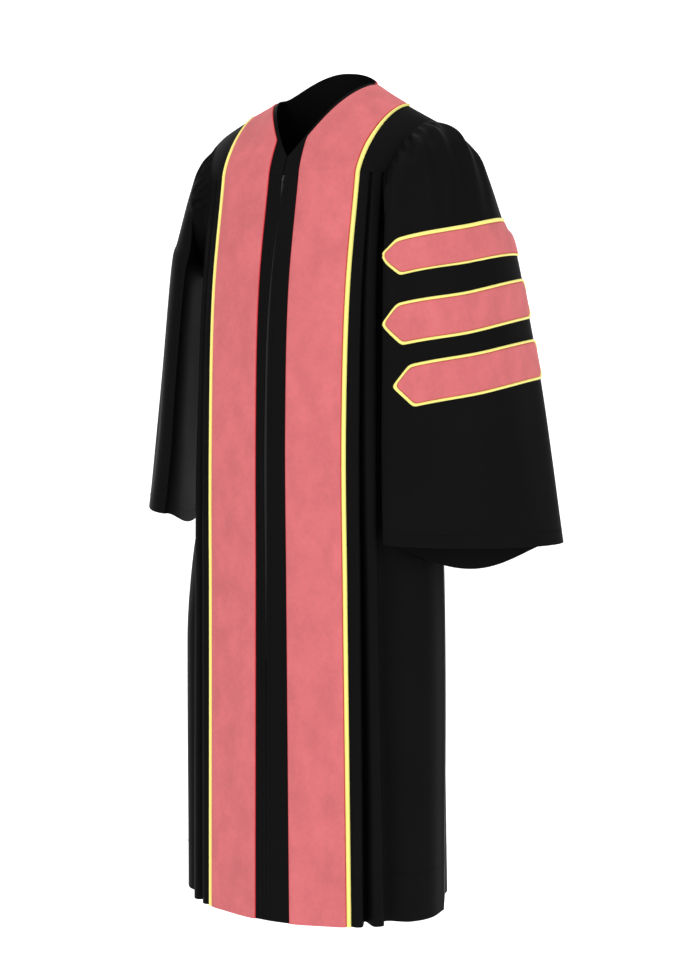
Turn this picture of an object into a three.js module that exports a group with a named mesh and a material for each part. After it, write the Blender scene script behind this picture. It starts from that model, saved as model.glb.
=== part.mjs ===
// Doctoral graduation gown in its worn form, hollow, with no wearer inside.
// A yoke over the shoulders carries two pleated fronts, a gathered back and two bell sleeves.
// Velvet bands edged with piping run down both fronts and round the neck, and three piped
// velvet bars lie on each sleeve.
// Millimetres, +Z up, +X to the wearer's left, -Y to the front. The origin is between the two
// points where the neck meets the shoulders, because the shoulders carry the gown.

import * as THREE from 'three';

// Cloth and trim
const CLOTH = 1.6;
const VELVET = 1.8;
const TAPE = 1.0;
const SEAM_GAP = 0.3;
const ARMHOLE_GAP = 0.8;
const BAR_LIFT = 0.6;
const BAR_PIPING_LIFT = 2.0;
const BAR_PIPING_GAP = 0.9;
const BAND_LIFT = 0.6;
const BAND_PIPING = { width: 6.1, height: 3.0 };
const BAR_PIPING = { width: 4.4, height: 2.4 };
// Sections of the piping in shares of its width and height
const BAND_PIPING_PROFILE = [
  { off: 0, height: 0 },
  { off: 0.14, height: 0.62 },
  { off: 0.5, height: 1 },
  { off: 0.86, height: 0.62 },
  { off: 1, height: 0 },
];
const BAR_PIPING_PROFILE = [
  { off: 0, height: 0 },
  { off: 0.25, height: 0.85 },
  { off: 0.75, height: 0.85 },
  { off: 1, height: 0 },
];

// Heights below the origin
const YOKE_DROP = 148;
const UNDERARM_DROP = 287;
const ZIP_END_DROP = 905;
const HEM_DROP = 1320;

// Neck and shoulders
const NECK_HALF = 82;
const BACK_NECK_DEPTH = 62;
const BACK_NECK_RISE = 40;
const BACK_NECK_CURVE = 1.7;
const SHOULDER_HALF = 192;
const SHOULDER_SET_BACK = 7;
const NECK_V_SHARE = 0.8;
const NECK_V_CURVE = 1.78;
const FRONT_CORNER = 157.5;
const FRONT_CORNER_CURVE = 1.2;
const BACK_CORNER = 150;
const ROUNDNESS = { centre: 1.25, shoulder: 1.6 };

// Velvet band, measured across from the centre front
const NECK_MARGIN = 6;
const BAND_EDGES = [
  { drop: 148, leftInner: 26, rightInner: 26, outer: 121 },
  { drop: 600, leftInner: 28, rightInner: 24, outer: 120 },
  { drop: 1320, leftInner: 33, rightInner: 27, outer: 127 },
];
const SHOULDER_BAND_OUTER = 142;
// How soon each band draws in from the shoulder to the yoke seam
const BAND_SWEEP = { left: 1.5, right: 6 };
const PIPING_ROOM = BAND_PIPING.width + 2 * SEAM_GAP;
const BAND_SPLITS = 3;
// First line of the band on each panel's grid
const FRONT_BAND_COLUMN = 2;
const YOKE_BAND_COLUMN = 1;
const BACK_BAND_ROW = 1;

// Back yoke: share of the crest taken by the neck, and the band's place at the centre back
const NECK_SHARE = 0.5;
const BACK_BAND = { inner: 0.05, outer: 0.45, piping: 0.49 };
const BACK_YOKE_STEPS = 32;

// Zip and its lapped slit, which opens a little round the slider at the top
const TAPE_HALF = 12;
const YOKE_SLIT_SHARE = 0.2;
const SLIT = [
  { drop: 148, centre: -1, half: 3.2 },
  { drop: 163, centre: -1.5, half: 3.0 },
  { drop: 185, centre: -2, half: 0.8 },
  { drop: 260, centre: -4, half: 1.2 },
  { drop: 420, centre: -7, half: 2.3 },
  { drop: 700, centre: -7, half: 2.3 },
  { drop: 905, centre: -7, half: 0.6 },
  { drop: 1320, centre: -7, half: 0.4 },
];
const SLIDER = { halfWidth: 2.6, length: 10, thick: 2.6, top: 151, chamfer: 0.7 };
// Outline of the slider in shares of its half width and half length
const SLIDER_OUTLINE = [
  { wide: -1, tall: 0.7 },
  { wide: -0.6, tall: 1 },
  { wide: 0.6, tall: 1 },
  { wide: 1, tall: 0.7 },
  { wide: 0.62, tall: -1 },
  { wide: -0.62, tall: -1 },
];

// Level sections of the body, front and back depths counted from centreY
const BODY_RINGS = [
  { drop: 148, halfWidth: 204, centreY: -10, front: 145, back: 108, square: 2.3 },
  { drop: 330, halfWidth: 194, centreY: -18, front: 174, back: 124, square: 2.5 },
  { drop: 540, halfWidth: 198, centreY: -24, front: 181, back: 144, square: 2.45 },
  { drop: 780, halfWidth: 220, centreY: -29, front: 177, back: 168, square: 2.1 },
  { drop: 1320, halfWidth: 225, centreY: -32, front: 174, back: 172, square: 2.0 },
];

// Crest of the shoulders, across from the centre. The left side of the neck hangs higher
const SHOULDER_CREST = [
  { across: 0, left: 42, right: 42 },
  { across: 45, left: 31, right: 23 },
  { across: 82, left: 10, right: -8 },
  { across: 110, left: -9, right: -22 },
  { across: 140, left: -28, right: -35 },
  { across: 192, left: -58, right: -60 },
];

// Lines down each front outside the band: distance across and how far the cloth stands out
const FRONT_PLEATS = [
  { line: 'first crest', yokeAcross: 127, hemAcross: 134, yokeOut: 0.5, hemOut: 5 },
  { line: 'first fold', yokeAcross: 133.5, hemAcross: 142, yokeOut: 0.5, hemOut: 3 },
  { line: 'first floor', yokeAcross: 136.8, hemAcross: 149, yokeOut: -4, hemOut: -23 },
  { line: 'second rise', yokeAcross: 140, hemAcross: 156, yokeOut: 0.5, hemOut: 3 },
  { line: 'second crest', yokeAcross: 145.5, hemAcross: 162, yokeOut: 0.8, hemOut: 6 },
  { line: 'second fold', yokeAcross: 150, hemAcross: 169, yokeOut: 0.5, hemOut: 3 },
  { line: 'second floor', yokeAcross: 153, hemAcross: 176, yokeOut: -3, hemOut: -18 },
];
// Lines between the last pleat and the side seam
const FRONT_SIDE = [
  { share: 0.3, sleeveOut: -12, hemOut: 5 },
  { share: 0.62, sleeveOut: -8, hemOut: 4 },
  { share: 1, sleeveOut: 0, hemOut: 0 },
];
const BESIDE_SLEEVE = { from: 150, whole: 225, fading: 640, gone: 900 };

// Gathered folds of the back, in degrees from the centre back
const BACK_FOLDS = [
  { yokeTurn: 0, hemTurn: 0, yokeOut: 0.8, hemOut: 7 },
  { yokeTurn: 7, hemTurn: 9, yokeOut: -2.5, hemOut: -15 },
  { yokeTurn: 14, hemTurn: 20, yokeOut: 0.8, hemOut: 6 },
  { yokeTurn: 20, hemTurn: 30, yokeOut: -2.5, hemOut: -12 },
  { yokeTurn: 27, hemTurn: 41, yokeOut: 0.8, hemOut: 7 },
  { yokeTurn: 34, hemTurn: 52, yokeOut: -2.5, hemOut: -13 },
  { yokeTurn: 41, hemTurn: 63, yokeOut: 0.8, hemOut: 5 },
  { yokeTurn: 48, hemTurn: 74, yokeOut: -2, hemOut: -8 },
];
const FOLD_GROWTH = 2.2;

// Levels at which the body panels and the front yokes are cut into rows
const BODY_LEVELS = [
  148.15, 163, 185, 222, 255, 275, 284, UNDERARM_DROP,
  330, 400, 480, 580, 700, ZIP_END_DROP, 1100, HEM_DROP,
];
const YOKE_LEVELS = [0.004, 0.13, 0.28, 0.42, 0.55, 0.68, NECK_V_SHARE, 0.9, 1];

// Sections of a bell sleeve from the armhole to the mouth. front and back run from the middle to
// the turned section's ends, outer and inner stand off it, rise lifts the outer line, fall lowers
// the inner one, and lean lowers the front end and lifts the back end. The flat columns are those of
// the right sleeve, which hangs flatter and further back
const SLEEVE_SECTIONS = [
  {
    name: 'armhole', x: 194, drop: 172, turn: 0, front: 102, back: 102,
    outer: 0, inner: 0, rise: 114, fall: 115, lean: 0,
    flatFront: 102, flatBack: 102, flatOuter: 0, flatRise: 114,
  },
  {
    name: 'cap', x: 208, drop: 179, turn: 14, front: 125, back: 90,
    outer: 20, inner: -1, rise: 105, fall: 104, lean: 2,
    flatFront: 112, flatBack: 98, flatOuter: 0, flatRise: 82,
  },
  {
    name: 'head', x: 210, drop: 191, turn: 19, front: 133, back: 93,
    outer: 41, inner: -2, rise: 92, fall: 99, lean: 5,
    flatFront: 108, flatBack: 108, flatOuter: 13, flatRise: 67,
  },
  {
    name: 'crown', x: 212, drop: 212, turn: 19, front: 136, back: 104,
    outer: 55, inner: -3, rise: 62, fall: 88, lean: 11,
    flatFront: 105, flatBack: 126, flatOuter: 32, flatRise: 45,
  },
  {
    name: 'upper', x: 217, drop: 250, turn: 20, front: 142, back: 124,
    outer: 61, inner: -2, rise: 18, fall: 62, lean: 22,
    flatFront: 112, flatBack: 154, flatOuter: 49, flatRise: 15,
  },
  {
    name: 'first bar', x: 225, drop: 290, turn: 22, front: 149, back: 136,
    outer: 63, inner: 2, rise: 13, fall: 46, lean: 29,
    flatFront: 123, flatBack: 166, flatOuter: 51, flatRise: 13,
  },
  {
    name: 'third bar', x: 244, drop: 470, turn: 26, front: 164, back: 156,
    outer: 66, inner: 8, rise: 12, fall: 36, lean: 29,
    flatFront: 137, flatBack: 176, flatOuter: 52, flatRise: 12,
  },
  {
    name: 'lower', x: 257, drop: 600, turn: 30, front: 170, back: 164,
    outer: 65, inner: 10, rise: 10, fall: 38, lean: 18,
    flatFront: 143, flatBack: 177, flatOuter: 54, flatRise: 10,
  },
  {
    name: 'mouth', x: 270, drop: 724, turn: 32, front: 178, back: 172,
    outer: 62, inner: 10, rise: -5, fall: 44, lean: 7,
    flatFront: 150, flatBack: 177, flatOuter: 55, flatRise: 6,
  },
];
const SLEEVE_MID_Y = -16;
const ARMHOLE_BLEND = 2.5;
const DRAW_WHOLE = 4;
const MOUTH_LEAN_FROM = 6;
const INNER_DIP = 0.4;
// How each sleeve hangs: its columns, share of the turn, share of the inner fall, lift of the mouth,
// draw towards the body, lean of the mouth's front, and shifts of the bars to the back
const SLEEVE_HANG = {
  left: {
    side: 1, front: 'front', back: 'back', outer: 'outer', rise: 'rise',
    turnShare: 1, fallShare: 1, lift: 0, draw: 0, mouthLean: -13, barShifts: [-4, -4, -4],
  },
  right: {
    side: -1, front: 'flatFront', back: 'flatBack', outer: 'flatOuter', rise: 'flatRise',
    turnShare: 0.5, fallShare: 0.7, lift: 45, draw: 10, mouthLean: 0, barShifts: [92, 102, 108],
  },
};
const HEAD_ROWS = [0, 0.4, 0.9, 1.6];
const UPPER_ROWS = [2.4];
const LOWER_ROWS = [7, 8];
const HEAD_COLUMNS = 80;
const SLEEVE_COLUMNS = 44;
const GATHERS = { count: 20, depth: 2.2, peak: 0.7, fade: 2.2, openFrom: 140, openTo: 115 };
// Soft folds falling from the sleeve head, by angle from the outer line towards the front
const SLEEVE_FOLDS = [
  { at: 52, width: 9, depth: 4.5, fade: 3.4 },
  { at: 30, width: 8, depth: 6, fade: 4.2 },
  { at: 8, width: 10, depth: 6.5, fade: 5.2 },
  { at: -16, width: 9, depth: 5, fade: 4.4 },
  { at: -42, width: 11, depth: 6, fade: 4.6 },
];
const FOLD_REACH = { from: 0.3, whole: 1.8 };
const BAR_DROPS = [270, 364, 459];
const BAR = { halfLength: 160, halfWidth: 27, point: 26, tipHalf: 1, room: 35 };
const BAR_CUTS = { pointSteps: 3, leastStep: 1.2, leastCut: 0.4 };

// Finishes
const BLACK_CLOTH = { color: 0x141415, roughness: 0.72, metalness: 0 };
const ROSE_VELVET = { color: 0xdd757a, roughness: 0.9, metalness: 0 };
const YELLOW_SATIN = { color: 0xfdf58c, roughness: 0.5, metalness: 0 };
const BLACK_TAPE = { color: 0x0c0c0d, roughness: 0.8, metalness: 0 };
const SLIDER_METAL = { color: 0x8a8a8c, roughness: 0.35, metalness: 1 };

const RIGHT_ANGLE = Math.PI / 2;
const radians = THREE.MathUtils.degToRad;
const lerp = THREE.MathUtils.lerp;
const clamp = THREE.MathUtils.clamp;
const smooth = THREE.MathUtils.smoothstep;

// A smooth curve through one column of a table, along another column or along the row numbers
function through(rows, along, key) {
  const at = rows.map((row, i) => (along === 'row' ? i : row[along]));
  const value = rows.map((row) => row[key]);
  const last = at.length - 1;
  const slope = value.map((_, i) => {
    const before = Math.max(i - 1, 0);
    const after = Math.min(i + 1, last);
    return (value[after] - value[before]) / (at[after] - at[before]);
  });
  return (t) => {
    let i = 0;
    while (i < last - 1 && t > at[i + 1]) i += 1;
    const step = at[i + 1] - at[i];
    const f = (t - at[i]) / step;
    const g = 1 - f;
    const ends = value[i] * g * g * (1 + 2 * f) + value[i + 1] * f * f * (1 + 2 * g);
    return ends + step * f * g * (slope[i] * g - slope[i + 1] * f);
  };
}

function curvesOf(rows, along, keys) {
  return Object.fromEntries(keys.map((key) => [key, through(rows, along, key)]));
}

// Grids are rows of cells, each with a point and a normal out of the cloth

// sense is 1 where columns crossed with rows point out of the cloth, and -1 where they point in
function gridOf(rowPoints, sense, closed = false) {
  const rows = rowPoints.map((points) => points.map((point) => ({ point, normal: new THREE.Vector3() })));
  const lastRow = rows.length - 1;
  rows.forEach((row, i) => row.forEach((cell, j) => {
    const lastColumn = row.length - 1;
    const before = closed ? row[(j + lastColumn) % row.length] : row[Math.max(j - 1, 0)];
    const after = closed ? row[(j + 1) % row.length] : row[Math.min(j + 1, lastColumn)];
    const share = closed ? j / row.length : j / lastColumn;
    const above = pointAlong(rows[Math.max(i - 1, 0)], share, closed);
    const below = pointAlong(rows[Math.min(i + 1, lastRow)], share, closed);
    const across = after.point.clone().sub(before.point);
    cell.normal.crossVectors(across, below.sub(above)).normalize().multiplyScalar(sense);
  }));
  return rows;
}

function pointAlong(row, share, closed) {
  const place = share * (closed ? row.length : row.length - 1);
  const first = Math.floor(place + 1e-9);
  const at = (k) => row[closed ? k % row.length : Math.min(k, row.length - 1)].point;
  return at(first).clone().lerp(at(first + 1), place - first);
}

const flip = (v) => new THREE.Vector3(-v.x, v.y, v.z);

function mirrored(grid, side) {
  if (side > 0) return grid;
  return grid.map((row) => row.map((cell) => ({ point: flip(cell.point), normal: flip(cell.normal) })));
}

// Turns the normals of an edge into a plane square to an axis, so that its wall ends square
function squareEdge(cells, axis) {
  cells.forEach((cell) => cell.normal.setComponent('xyz'.indexOf(axis), 0).normalize());
}

function moved(cell, out) {
  return cell.point.clone().addScaledVector(cell.normal, out);
}

function between(a, b, share) {
  return {
    point: a.point.clone().lerp(b.point, share),
    normal: a.normal.clone().lerp(b.normal, share).normalize(),
  };
}

// Solids

// Triangles between two rows of vertex numbers that may hold different counts. Where both rows
// step together, the shorter diagonal is taken, so that sheets on one grid bend alike
function stitch(first, second, push, apart) {
  let i = 0;
  let j = 0;
  while (i < first.length - 1 || j < second.length - 1) {
    const lead = (j + 1) / (second.length - 1) - (i + 1) / (first.length - 1);
    const level = Math.abs(lead) < 1e-9;
    const shorter = level && apart(first[i + 1], second[j]) <= apart(first[i], second[j + 1]);
    const ended = j === second.length - 1;
    if (ended || (i < first.length - 1 && (level ? shorter : lead > 0))) {
      push(first[i], second[j], first[i + 1]);
      i += 1;
    } else {
      push(first[i], second[j], second[j + 1]);
      j += 1;
    }
  }
}

// A closed wall between an outer and an inner face, each a list of rows of points
function wall(outer, inner, closed) {
  const positions = [];
  const triangles = [];
  const number = (rows) => rows.map((row) => row.map((p) => positions.push(p.x, p.y, p.z) / 3 - 1));
  const wrap = (row) => (closed ? [...row, row[0]] : row);
  const out = number(outer).map(wrap);
  const into = number(inner).map(wrap);
  const forward = (a, b, c) => triangles.push(a, b, c);
  const backward = (a, b, c) => triangles.push(a, c, b);
  const place = (k) => new THREE.Vector3().fromArray(positions, 3 * k);
  const apart = (a, b) => place(a).distanceTo(place(b));
  for (let i = 0; i + 1 < out.length; i += 1) {
    stitch(out[i], out[i + 1], forward, apart);
    stitch(into[i], into[i + 1], backward, apart);
  }
  stitch(out[0], into[0], backward, apart);
  stitch(out.at(-1), into.at(-1), forward, apart);
  if (!closed) {
    stitch(out.map((row) => row[0]), into.map((row) => row[0]), forward, apart);
    stitch(out.map((row) => row.at(-1)), into.map((row) => row.at(-1)), backward, apart);
  }
  return solid(positions, triangles);
}

// A bar swept through rings of points, closed into a loop or capped at its ends
function sweep(rings, loop) {
  const count = rings[0].length;
  const positions = rings.flatMap((ring) => ring.flatMap((p) => [p.x, p.y, p.z]));
  const triangles = [];
  const spans = loop ? rings.length : rings.length - 1;
  for (let i = 0; i < spans; i += 1) {
    const next = (i + 1) % rings.length;
    for (let j = 0; j < count; j += 1) {
      const k = (j + 1) % count;
      triangles.push(i * count + j, next * count + j, next * count + k);
      triangles.push(i * count + j, next * count + k, i * count + k);
    }
  }
  if (!loop) {
    const end = (rings.length - 1) * count;
    for (let j = 1; j + 1 < count; j += 1) {
      triangles.push(0, j, j + 1);
      triangles.push(end, end + j + 1, end + j);
    }
  }
  return solid(positions, triangles);
}

// Turns the triangles round where they would face in
function solid(positions, triangles) {
  const corner = (i) => new THREE.Vector3().fromArray(positions, triangles[i] * 3);
  let volume = 0;
  for (let i = 0; i < triangles.length; i += 3) {
    volume += corner(i).dot(corner(i + 1).cross(corner(i + 2)));
  }
  if (volume < 0) triangles.reverse();
  const geometry = new THREE.BufferGeometry();
  geometry.setAttribute('position', new THREE.Float32BufferAttribute(positions, 3));
  geometry.setIndex(triangles);
  geometry.computeVertexNormals();
  return geometry;
}

function sheet(grid, innerOut, outerOut, closed = false) {
  const face = (out) => grid.map((row) => row.map((cell) => moved(cell, out)));
  return wall(face(outerOut), face(innerOut), closed);
}

// Body panels

const ring = curvesOf(BODY_RINGS, 'drop', ['halfWidth', 'centreY', 'front', 'back', 'square']);
const slit = curvesOf(SLIT, 'drop', ['centre', 'half']);
const band = curvesOf(BAND_EDGES, 'drop', ['leftInner', 'rightInner', 'outer']);

// Point of a level section at an angle from the centre front, moved out of the cloth
function bodyPoint(angle, drop, out = 0) {
  const onRing = (turn) => {
    const depth = Math.cos(turn) > 0 ? ring.front(drop) : ring.back(drop);
    const square = ring.square(drop);
    const wide = Math.abs(Math.sin(turn) / ring.halfWidth(drop)) ** square;
    const deep = Math.abs(Math.cos(turn) / depth) ** square;
    const radius = (wide + deep) ** (-1 / square);
    return new THREE.Vector3(radius * Math.sin(turn), ring.centreY(drop) - radius * Math.cos(turn), -drop);
  };
  const step = 0.01;
  const along = onRing(angle + step).sub(onRing(angle - step));
  const outward = new THREE.Vector3(along.y, -along.x, 0).normalize();
  return onRing(angle).addScaledVector(outward, out);
}

// Distance of a level section from its centre line, at a distance across
function sectionDepth(depth, across, drop) {
  const square = ring.square(drop);
  return depth(drop) * (1 - Math.abs(across / ring.halfWidth(drop)) ** square) ** (1 / square);
}

const frontAngle = (across, drop) => Math.atan2(across, sectionDepth(ring.front, across, drop));
const backAngle = (across, drop) => Math.atan2(across, sectionDepth(ring.back, across, drop));

const fallen = (drop) => (drop - YOKE_DROP) / (HEM_DROP - YOKE_DROP);
const grown = (drop) => 1 - (1 - fallen(drop)) ** FOLD_GROWTH;

// Side edge of a panel: down the armhole as a quarter round, then straight down the side seam
function sideAngle(cornerAngle, drop) {
  const share = clamp((drop - YOKE_DROP) / (UNDERARM_DROP - YOKE_DROP), 0, 1);
  const round = 1 - Math.sqrt(1 - share * share);
  const seam = SEAM_GAP / 2 / ring.halfWidth(drop);
  return lerp(cornerAngle, RIGHT_ANGLE, round) - seam;
}

function bandColumns(inner, outer) {
  return Array.from({ length: BAND_SPLITS + 1 }, (_, k) => lerp(inner, outer, k / BAND_SPLITS));
}

// One front in the left side's own sense, from the slit to the side
function frontGrid(side) {
  const cornerAngle = frontAngle(FRONT_CORNER, YOKE_DROP);
  const rows = BODY_LEVELS.map((drop) => {
    const down = fallen(drop);
    const edge = side * slit.centre(drop) + slit.half(drop);
    const inner = side > 0 ? band.leftInner(drop) : band.rightInner(drop);
    const outer = band.outer(drop);
    const flat = [edge, edge + TAPE_HALF, ...bandColumns(inner, outer - PIPING_ROOM), outer];
    const points = flat.map((across) => bodyPoint(frontAngle(across, drop), drop));
    let angle = 0;
    for (const pleat of FRONT_PLEATS) {
      angle = frontAngle(lerp(pleat.yokeAcross, pleat.hemAcross, down), drop);
      points.push(bodyPoint(angle, drop, lerp(pleat.yokeOut, pleat.hemOut, grown(drop))));
    }
    const beside = smooth(drop, BESIDE_SLEEVE.from, BESIDE_SLEEVE.whole);
    const below = smooth(drop, BESIDE_SLEEVE.fading, BESIDE_SLEEVE.gone);
    for (const { share, sleeveOut, hemOut } of FRONT_SIDE) {
      const onward = lerp(angle, sideAngle(cornerAngle, drop), share);
      points.push(bodyPoint(onward, drop, lerp(sleeveOut * beside, hemOut, below)));
    }
    return points;
  });
  const grid = gridOf(rows, -1);
  squareBody(grid, [grid[0].length - 1]);
  return mirrored(grid, side);
}

// Squares a body panel's seams: its top, its hem and its side seams below the underarm
function squareBody(grid, sideColumns) {
  squareEdge(grid[0], 'z');
  squareEdge(grid.at(-1), 'z');
  const seamRows = grid.filter((_, i) => BODY_LEVELS[i] >= UNDERARM_DROP);
  sideColumns.forEach((column) => squareEdge(seamRows.map((row) => row[column]), 'y'));
}

// The back, from the left side to the right side through the centre back
function backGrid() {
  const cornerAngle = backAngle(BACK_CORNER, YOKE_DROP);
  const rows = BODY_LEVELS.map((drop) => {
    const spread = Math.sqrt(fallen(drop));
    const half = BACK_FOLDS.map((fold) => ({
      turn: radians(lerp(fold.yokeTurn, fold.hemTurn, spread)),
      out: lerp(fold.yokeOut, fold.hemOut, grown(drop)),
    }));
    half.push({ turn: sideAngle(cornerAngle, drop), out: 0 });
    const leftHalf = half.slice(1).reverse().map(({ turn, out }) => ({ turn: -turn, out }));
    return [...leftHalf, ...half].map(({ turn, out }) => bodyPoint(Math.PI + turn, drop, out));
  });
  const grid = gridOf(rows, -1);
  squareBody(grid, [0, grid[0].length - 1]);
  return grid;
}

// Yoke

const crest = curvesOf(SHOULDER_CREST, 'across', ['left', 'right']);

const crestZ = (side, across) => (side < 0 ? crest.right : crest.left)(Math.abs(across));

const crestY = (across) => SHOULDER_SET_BACK * Math.abs(across) / SHOULDER_HALF;

// Share forward and share down of a rounded shoulder, at a share of the way round it
function roundedShoulder(share, across) {
  const power = 2 / lerp(ROUNDNESS.centre, ROUNDNESS.shoulder, Math.abs(across) / SHOULDER_HALF);
  const turn = share * RIGHT_ANGLE;
  return { forth: Math.sin(turn) ** power, down: 1 - Math.max(Math.cos(turn), 0) ** power };
}

function frontYokePoint(side, across, share) {
  const { forth, down } = roundedShoulder(share, across);
  const seamY = ring.centreY(YOKE_DROP) - sectionDepth(ring.front, across, YOKE_DROP);
  const seamZ = -YOKE_DROP + SEAM_GAP / 2;
  const y = lerp(crestY(across), seamY, forth);
  return new THREE.Vector3(across, y, lerp(crestZ(side, across), seamZ, down));
}

// One front yoke in the left side's own sense, from the neck to the armhole
function frontYokeGrid(side) {
  const rows = YOKE_LEVELS.map((share) => {
    const slitEdge = side * slit.centre(YOKE_DROP) + slit.half(YOKE_DROP) * YOKE_SLIT_SHARE;
    const neck = NECK_HALF * (1 - (share / NECK_V_SHARE) ** NECK_V_CURVE);
    const edge = Math.max(neck, slitEdge);
    const inner = Math.max(edge + NECK_MARGIN, band.leftInner(YOKE_DROP));
    const sweep = side < 0 ? BAND_SWEEP.right : BAND_SWEEP.left;
    const outer = lerp(SHOULDER_BAND_OUTER, band.outer(YOKE_DROP), 1 - (1 - share) ** sweep);
    const armhole = lerp(FRONT_CORNER, SHOULDER_HALF, (1 - share) ** FRONT_CORNER_CURVE);
    const beyond = [outer, (outer + armhole) / 2, armhole];
    const columns = [edge, ...bandColumns(inner, outer - PIPING_ROOM), ...beyond];
    return columns.map((across) => frontYokePoint(side, across, share));
  });
  const grid = gridOf(rows, -1);
  squareEdge(grid[0], 'y');
  squareEdge(grid.at(-1), 'z');
  return mirrored(grid, side);
}

// Back yoke at a share of the way from the centre back to the shoulder tip (left positive) and a
// share of the way down
function backYokePoint(out, share) {
  const away = Math.abs(out);
  const past = Math.max(away - NECK_SHARE, 0) / (1 - NECK_SHARE);
  const onNeck = RIGHT_ANGLE * (1 - Math.min(away / NECK_SHARE, 1));
  const topX = lerp(NECK_HALF * Math.cos(onNeck), SHOULDER_HALF, past);
  const topY = BACK_NECK_DEPTH * Math.sin(onNeck) + crestY(topX) * Math.cos(onNeck);
  const neckZ = lerp(crestZ(out, NECK_HALF), BACK_NECK_RISE, Math.sin(onNeck) ** BACK_NECK_CURVE);
  const topZ = past > 0 ? crestZ(out, topX) : neckZ;
  const seamX = BACK_CORNER * away;
  const seamY = ring.centreY(YOKE_DROP) + sectionDepth(ring.back, seamX, YOKE_DROP);
  const { forth, down } = roundedShoulder(share, topX);
  const x = lerp(topX, seamX, share) * Math.sign(out);
  return new THREE.Vector3(x, lerp(topY, seamY, forth), lerp(topZ, -YOKE_DROP + SEAM_GAP / 2, down));
}

// The back yoke in rows round the neck, each from the left shoulder to the right one
function backYokeGrid() {
  const pastNeck = (across) => (across - NECK_HALF) / (SHOULDER_HALF - NECK_HALF);
  const shareOf = (across) => lerp(NECK_SHARE, 1, pastNeck(across));
  const pipingEdge = SHOULDER_BAND_OUTER;
  const innerShares = bandColumns(NECK_HALF + NECK_MARGIN, pipingEdge - PIPING_ROOM).map(shareOf);
  const downShares = bandColumns(BACK_BAND.inner, BACK_BAND.outer);
  const ovals = [
    { out: NECK_SHARE, down: 0 },
    ...innerShares.map((out, k) => ({ out, down: downShares[k] })),
    { out: shareOf(pipingEdge), down: BACK_BAND.piping },
  ];
  const steps = Array.from({ length: BACK_YOKE_STEPS + 1 }, (_, i) => (Math.PI * i) / BACK_YOKE_STEPS);
  const onOval = (oval, turn) => ({ out: oval.out * Math.cos(turn), down: oval.down * Math.sin(turn) });
  const onEdge = (turn) => {
    const reach = 1 / Math.max(Math.abs(Math.cos(turn)), Math.sin(turn));
    return { out: reach * Math.cos(turn), down: reach * Math.sin(turn) };
  };
  const halfway = (a, b) => ({ out: (a.out + b.out) / 2, down: (a.down + b.down) / 2 });
  const places = ovals.map((oval) => steps.map((turn) => onOval(oval, turn)));
  const edge = steps.map(onEdge);
  places.push(edge.map((place, i) => halfway(place, places.at(-1)[i])), edge);
  const rows = places.map((row) => row.map(({ out, down }) => {
    const point = backYokePoint(out, Math.min(down, 1));
    point.y += SEAM_GAP * Math.max(1 - down * BACK_YOKE_STEPS, 0);
    return point;
  }));
  const grid = gridOf(rows, -1);
  const corner = BACK_YOKE_STEPS / 4;
  squareEdge(grid.at(-1).slice(corner, -corner), 'z');
  squareEdge(grid.map((row) => row[0]), 'y');
  squareEdge(grid.map((row) => row.at(-1)), 'y');
  return grid;
}

// Sleeves

const section = curvesOf(SLEEVE_SECTIONS, 'row', Object.keys(SLEEVE_SECTIONS[0]).slice(1));
const LAST_SECTION = SLEEVE_SECTIONS.length - 1;

function sectionAtDrop(drop) {
  let low = 0;
  let high = LAST_SECTION;
  while (high - low > 1e-6) {
    const middle = (low + high) / 2;
    if (section.drop(middle) < drop) low = middle;
    else high = middle;
  }
  return low;
}

// Point of the plain sleeve, by section number and angle from the outer line towards the front
function plainSleevePoint(hang, at, angle) {
  const turn = radians(section.turn(at) * hang.turnShare);
  const low = (at / LAST_SECTION) ** 2;
  const outward = Math.cos(angle);
  const forward = Math.sin(angle);
  const off = outward > 0 ? section[hang.outer](at) : section.inner(at);
  const fall = section.fall(at) * lerp(1, hang.fallShare, low);
  const lift = outward > 0 ? section[hang.rise](at) : fall * Math.abs(outward) ** INNER_DIP;
  const length = forward > 0 ? section[hang.front](at) : section[hang.back](at);
  const x = section.x(at) - hang.draw * smooth(at, 0, DRAW_WHOLE);
  const lean = section.lean(at) + hang.mouthLean * smooth(at, MOUTH_LEAN_FROM, LAST_SECTION);
  return new THREE.Vector3(
    x + Math.cos(turn) * off * outward - Math.sin(turn) * length * forward,
    SLEEVE_MID_Y - Math.sin(turn) * off * outward - Math.cos(turn) * length * forward,
    -section.drop(at) + hang.lift * low + lift * outward - lean * forward,
  );
}

// Loop of cells round an armhole: down the front edges, then up the back edges, by its length
function armholeLoop(cells) {
  const lengths = [0];
  cells.forEach((cell, i) => {
    const next = cells[(i + 1) % cells.length];
    lengths.push(lengths[i] + cell.point.distanceTo(next.point));
  });
  return (place) => {
    let i = 0;
    while (i < cells.length - 1 && lengths[i + 1] <= place) i += 1;
    const share = (place - lengths[i]) / (lengths[i + 1] - lengths[i]);
    return between(cells[i], cells[(i + 1) % cells.length], share);
  };
}

function loopLength(cells, upTo) {
  let length = 0;
  for (let i = 0; i < upTo; i += 1) {
    length += cells[i].point.distanceTo(cells[(i + 1) % cells.length].point);
  }
  return length;
}

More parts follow.
